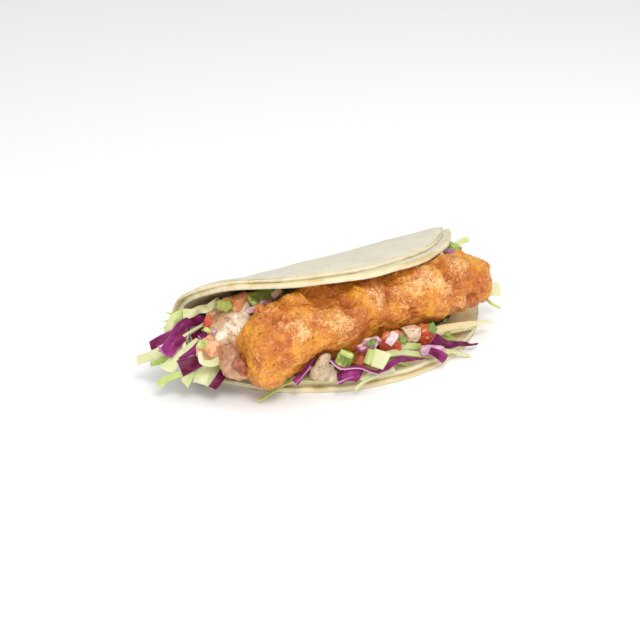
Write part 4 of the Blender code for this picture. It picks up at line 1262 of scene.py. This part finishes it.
# Each piece's stained side, how much sauce coats it, and how much lilac its white layers have. A bit has
# its place, size and turn first.
ONION = {
    "onion_front": ((-0.75, -0.6, -0.05), 0.0, 0.25),
    "onion_coated": ((0.8, 0.3, 0.6), 0.9, 0.0),
    "onion_right": ((0.5, -0.2, -0.8), 0.0, 0.8),
}
ONION_BITS = (
    ((-49.4, -46.0, 31.8), (8.0, 2.0, 3.0), (0, -22, -10), 0.0, 0.5),
    ((-44.8, -44.8, 33.4), (5.0, 2.2, 3.2), (0, 20, 0), 0.0, 0.9),
    ((-69.0, -49.6, 27.0), (3.4, 1.2, 2.0), (0, 50, 0), 0.3, 0.8),
    ((-38.8, -43.0, 34.6), (5.6, 3.0, 5.0), (10, -20, 10), 0.8, 0.0),
    ((-0.4, -73.6, 19.4), (3.6, 1.8, 6.4), (0, 30, -20), 0.2, 0.15),
)
ONION_SKIN = (0.15, 0.45)
ONION_BIT_SKIN = ((-0.5, 0.3, -0.8), 0.3, 0.6)


def onion_finish(name, coat, lilac):
    """Veined white or lilac layers, purple on the outer side, and a cloudy coat of sauce."""
    finish = Finish(
        name, Subsurface_Weight=0.4, Subsurface_Scale=0.002, Coat_Weight=0.4, Coat_Roughness=0.1
    )
    skin = finish.own("skin")
    veins = finish.grain(0.0012, 3.0, stretch=(0.3, 1, 1))
    base = finish.mix(finish.span(veins, 0.4, 0.65), (0.68, 0.50, 0.50), (0.84, 0.72, 0.68))
    blush = finish.mix(finish.span(veins, 0.4, 0.6), (0.36, 0.14, 0.26), (0.60, 0.36, 0.48))
    base = finish.mix(lilac, base, blush)
    stained = finish.mix(finish.span(veins, 0.45, 0.7), (0.27, 0.025, 0.085), (0.43, 0.09, 0.20))
    base = finish.mix(skin, base, stained)
    cloud = finish.span(finish.grain(0.0030, 3.0), 0.65 - coat * 0.4, 0.75 - coat * 0.4)
    base = finish.mix(cloud * coat, base, finish.mix(veins, (0.52, 0.34, 0.18), (0.74, 0.56, 0.36)))
    rough = finish.span(veins, 0.3, 0.7, 0.35, 0.22)
    return finish.wear(Base_Color=base, Roughness=rough, Normal=finish.bump(veins, 0.0004, 0.5))


onions = {}
for node, (skin_side, coat, lilac) in ONION.items():
    bm = skinned(diced(node, 0), skin_side, *ONION_SKIN)
    onions[node] = serve(node, bm, [onion_finish(node, coat, lilac)], [node])
for number, (*bit, coat, lilac) in enumerate(ONION_BITS):
    bm = skinned(chopped(*bit), *ONION_BIT_SKIN)
    serve(f"onion_bit_{number}", bm, [onion_finish(f"onion bit {number}", coat, lilac)])


# ---- Cabbage pieces -----------------------------------------------------------------------------
# Two larger cuts of cabbage lie in front: a thick white-green one in two facets, and a purple one that is
# folded over, with its lilac edge up. Both are raw, and stand where the fish leaves room for them.

FOLDED_GREEN = (
    dict(path=[(-11.9, -77.4, 18.6), (-13.2, -78, 16), (-14.6, -78.2, 13.2)],
         width=2.8, thick=1.6, facing=(-0.9, -0.5, 0.2), shade=(0.6, 0.45), cells=BROAD_CELLS),
    dict(path=[(-7.2, -78.2, 17.2), (-8.6, -78.6, 14.2), (-10.2, -78.8, 10.6)], width=7, thick=1.4,
         facing=(-0.2, -0.9, 0.4), taper=(1.05, 0.7), curl=0.05, shade=(0.1, 0), cells=BROAD_CELLS),
)
FOLDED_PURPLE = (
    dict(path=[(-27.4, -77.2, 8.6), (-24.6, -79, 10.6), (-21.4, -80.4, 10.6), (-18.6, -80, 8.8)],
         width=5, thick=0.9, facing=(-0.3, -0.8, 0.5), curl=0.3, skew=0.3, shade=(0.3, 0.4),
         cells=(28, 4)),
    # the thin lilac edge along the fold's ridge: partly the cut's own lilac, partly painted highlight
    dict(path=[(-28.3, -78.2, 7.4), (-26.6, -79.9, 8.9), (-24.1, -80.8, 10), (-18.9, -80.4, 9.6)],
         width=0.9, thick=0.7, shade=(0.9, 0.7)),
)

folded_green, folded_purple = Heap(FOLDED_GREEN), Heap(FOLDED_PURPLE)
serve("cabbage_front", folded_green.bm, [green_finish()], ["cabbage_front"])
serve("cabbage_purple", folded_purple.bm, [purple_finish()], ["cabbage_purple"])


# ---- Cilantro and pepper ------------------------------------------------------------------------
# Torn cilantro leaves lie on the filling, and coarse black pepper is scattered over the sauce.

# Where each leaf lies, what it faces, where it points, its length in millimetres and how yellow it is.
LEAVES = (
    ((-61.8, -43.6, 35.0), (-0.3, -0.75, 0.6), (1, -0.2, -0.4), 8.0, 1.0),
    ((4.4, -74.6, 18.2), (-0.4, -0.8, 0.5), (0.4, -0.2, -1), 5.6, 0.15),
    ((20.4, -72.0, 18.6), (-0.4, -0.8, 0.5), (0.2, -0.2, -1), 6.0, 0.10),
    ((-11.0, -75.6, 20.6), (-0.4, -0.7, 0.6), (1, -0.2, 0.2), 5.0, 0.0),
    ((31, -68, 12.0), (-0.2, -0.6, 0.8), (1, 0, 0), 3.4, 0.8),
)
LEAF_SEGMENTS = 30
LEAF_THICKNESS = 0.0003
LEAF_BREADTH = 0.72
LEAF_MEAN = 0.84
# How many lobes and notches go round the leaf, and how deep they are; the notches' turn goes by the tone.
LOBES = (5, 0.10)
NOTCHES = (14, 0.07)
NOTCH_TURN = 6
# The wave along the leaf: its height, how often, and its turn by the tone. It droops along and across.
LEAF_WAVE = (0.12, 4, 5)
LEAF_DROOP = (0.15, 0.25)


def cilantro():
    """The torn leaves, each a lobed, notched and gently bent disc."""
    bm = bmesh.new()
    flat_layer = bm.verts.layers.float_vector.new("flat")
    shade_layer = bm.verts.layers.float.new("shade")
    for place, facing, heading, size, tone in LEAVES:
        facing, heading = Vector(facing).normalized(), Vector(heading)
        heading = (heading - facing * heading.dot(facing)).normalized()
        side = facing.cross(heading)
        first = len(bm.verts)
        bmesh.ops.create_circle(bm, cap_ends=True, cap_tris=True, segments=LEAF_SEGMENTS, radius=1.0)
        bm.verts.ensure_lookup_table()
        edges = list({edge for vertex in bm.verts[first:] for edge in vertex.link_edges})
        bmesh.ops.subdivide_edges(bm, edges=edges, cuts=2, use_grid_fill=True)
        bm.verts.ensure_lookup_table()
        for vertex in bm.verts[first:]:
            around, out = math.atan2(vertex.co.y, vertex.co.x), math.hypot(vertex.co.x, vertex.co.y)
            lobe = LEAF_MEAN + LOBES[1] * math.cos(LOBES[0] * around)
            lobe += NOTCHES[1] * math.cos(NOTCHES[0] * around + tone * NOTCH_TURN)
            x, y = math.cos(around) * out * lobe, math.sin(around) * out * lobe * LEAF_BREADTH
            wave = LEAF_WAVE[0] * math.sin(LEAF_WAVE[1] * x + tone * LEAF_WAVE[2])
            bend = wave - LEAF_DROOP[1] * y * y - LEAF_DROOP[0] * x * x
            vertex[flat_layer] = (x * size / 2000, y * size / 2000, tone)
            vertex[shade_layer] = tone
            vertex.co = at(*place) + (heading * x + side * y + facing * bend) * size / 2000
    bmesh.ops.solidify(bm, geom=bm.faces[:], thickness=LEAF_THICKNESS)
    bmesh.ops.recalc_face_normals(bm, faces=bm.faces)
    return serve("cilantro", bm, [cilantro_finish()])


def cilantro_finish():
    """Thin green leaf with fine veins, yellower on the leaves that have wilted."""
    finish = Finish("cilantro", place="flat", Roughness=0.4)
    veins = finish.grain(0.0008, 3.0)
    base = finish.mix(finish.span(veins, 0.4, 0.65), (0.09, 0.15, 0.02), (0.20, 0.27, 0.05))
    wilted = finish.mix(veins, (0.20, 0.21, 0.02), (0.40, 0.40, 0.06))
    base = finish.mix(finish.own("shade") * 0.8, base, wilted)
    return finish.wear(Base_Color=base, Normal=finish.bump(veins, 0.0003, 0.6))


# The coarse grinds on the fish, and how many are strewn on the fish and on the sauces. Sizes, from finest
# to coarsest, are in millimetres.
PEPPER_ON_FISH = (
    (-53.0, -58.6, 36.5), (-51.8, -62.5, 35.8), (-50.8, -66.5, 34.0), (-56.6, -66.9, 31.4),
    (-52.8, -73.0, 26.0), (-54.3, -74.5, 20.5), (-60.0, -72.5, 20.0), (-50.8, -74.2, 20.5),
    (-36.1, -71.1, 26.9), (-21.2, -67.9, 32.9), (-15.5, -65.3, 33.7), (-13.4, -67.7, 30.9),
    (47.0, -57.9, 30.4), (48.7, -55.4, 35.3), (51.9, -58.1, 27.9), (23.9, -61.7, 31.5),
    (13.3, -57.3, 36.4), (-1.3, -61.4, 35.1),
)
PEPPER_COARSE = (0.28, 0.52)
PEPPER_ON_BATTER = (60, 0.12, 0.26)
PEPPER_ON_SAUCE = (360, 0.15, 0.36)
PEPPER_NARROWER = (0.5, 0.9)
PEPPER_TILT = 0.4
pepper_dice = random.Random(5)


def strew_pepper(pieces, hulls, count, finest, coarsest):
    """This many grinds, shared out over the pieces by how much surface each has."""
    grinds = []
    total = sum(len(piece.data.vertices) for piece in pieces)
    for piece, hull in zip(pieces, hulls):
        share = round(count * len(piece.data.vertices) / total)
        for vertex in pepper_dice.sample(list(piece.data.vertices), share):
            grinds.append((hull, vertex.co.copy(), pepper_dice.uniform(finest, coarsest)))
    return grinds


def pepper():
    """Coarse grinds on the fish, and finer ones strewn on it and on the sauce, all half sunk in."""
    bm = bmesh.new()
    dice = pepper_dice
    peppered = [*sauces, onions["onion_coated"]]
    graph = bpy.context.evaluated_depsgraph_get()
    fish_hull, *sauce_hulls = (BVHTree.FromObject(piece, graph) for piece in (fried_fish, *peppered))
    grinds = [(fish_hull, at(*place), dice.uniform(*PEPPER_COARSE)) for place in PEPPER_ON_FISH]
    grinds += strew_pepper([fried_fish], [fish_hull], *PEPPER_ON_BATTER)
    grinds += strew_pepper(peppered, sauce_hulls, *PEPPER_ON_SAUCE)
    for hull, place, size in grinds:
        spot, normal, _, _ = hull.find_nearest(place)
        spin = Euler([dice.uniform(0, 6) for _ in range(3)]).to_matrix().to_4x4()
        narrow = size / 1000 * dice.uniform(*PEPPER_NARROWER)
        flake = Matrix.Diagonal((size / 1000, narrow, size / 2000, 1))
        stand = normal.to_track_quat("Z", "Y").to_matrix().to_4x4()
        tilt = Matrix.Rotation(dice.uniform(-PEPPER_TILT, PEPPER_TILT), 4, "X")
        turn = Matrix.Rotation(dice.uniform(0, 6), 4, "Z")
        shape = Matrix.Translation(spot + normal * size / 5000) @ stand @ tilt @ turn @ flake @ spin
        bmesh.ops.create_icosphere(bm, subdivisions=1, radius=1.0, matrix=shape)
    return serve("pepper", bm, [pepper_finish()], smooth=False)


def pepper_finish():
    """Dry, nearly black husk with browner grains."""
    finish = Finish("ground pepper", Roughness=0.7, Specular_IOR_Level=0.1)
    husk = finish.span(finish.grain(0.0006, 2.0), 0.4, 0.6)
    return finish.wear(Base_Color=finish.mix(husk, (0.012, 0.006, 0.004), (0.10, 0.045, 0.022)))


cilantro()
pepper()


# ---- Studio -------------------------------------------------------------------------------------
# A plain pale floor under soft light from above, and a camera that looks into the mouth of the taco
# from its front left, a little above it.

CAMERA_AZIMUTH = math.radians(-27.12)
CAMERA_ELEVATION = math.radians(26.01)
CAMERA_DISTANCE = 0.600
CAMERA_LENS = 72.6
CAMERA_NEAREST = 0.01
LOOK_AT = FOLD + Vector((0.0025, -0.0032, -0.0035))
FLOOR_SIZE = 3.0
SKY_STRENGTH = 0.80
# Each softbox's place, its side and its power; all of them point at the origin.
LAMPS = (
    ((-0.12, -0.42, 0.62), 0.26, 2.3),
    ((0.25, 0.15, 0.80), 0.50, 0.9),
    ((-0.30, -0.60, 0.28), 0.40, 0.6),
    ((0.45, -0.36, 0.20), 0.40, 0.7),
    ((-0.50, -0.40, 0.075), 0.13, 0.7),
)


def floor_finish():
    """Matt pale paint."""
    finish = Finish("pale floor", Roughness=0.9)
    return finish.wear(Base_Color=(0.90, 0.90, 0.90, 1.0))


def lay_floor():
    bm = bmesh.new()
    bmesh.ops.create_grid(bm, x_segments=1, y_segments=1, size=FLOOR_SIZE)
    mesh = bpy.data.meshes.new("floor")
    bm.to_mesh(mesh)
    bm.free()
    mesh.materials.append(floor_finish())
    floor = bpy.data.objects.new("floor", mesh)
    bpy.context.scene.collection.objects.link(floor)


def light():
    world = bpy.data.worlds.new("studio")
    world.use_nodes = True
    sky = world.node_tree.nodes["Background"]
    sky.inputs["Color"].default_value = (1.0, 1.0, 1.0, 1.0)
    sky.inputs["Strength"].default_value = SKY_STRENGTH
    bpy.context.scene.world = world
    for place, size, power in LAMPS:
        softbox = bpy.data.lights.new("softbox", "AREA")
        softbox.size = size
        softbox.energy = power
        lamp = bpy.data.objects.new("softbox", softbox)
        lamp.location = place
        lamp.rotation_euler = (-Vector(place)).to_track_quat("-Z", "Y").to_euler()
        bpy.context.scene.collection.objects.link(lamp)


def set_camera():
    """Looks from the front left and above; back is the way from the taco to the camera."""
    side = Vector((math.cos(CAMERA_AZIMUTH), math.sin(CAMERA_AZIMUTH), 0.0))
    level = Vector((math.sin(CAMERA_AZIMUTH), -math.cos(CAMERA_AZIMUTH), 0.0))
    back = level * math.cos(CAMERA_ELEVATION) + Vector((0.0, 0.0, math.sin(CAMERA_ELEVATION)))
    lens = bpy.data.cameras.new("camera")
    lens.lens = CAMERA_LENS
    lens.clip_start = CAMERA_NEAREST
    camera = bpy.data.objects.new("camera", lens)
    turn = Matrix((side, back.cross(side), back)).transposed().to_4x4()
    camera.matrix_world = Matrix.Translation(LOOK_AT + back * CAMERA_DISTANCE) @ turn
    bpy.context.scene.collection.objects.link(camera)
    bpy.context.scene.camera = camera


lay_floor()
light()
set_camera()
bpy.context.scene.view_settings.view_transform = "Standard"
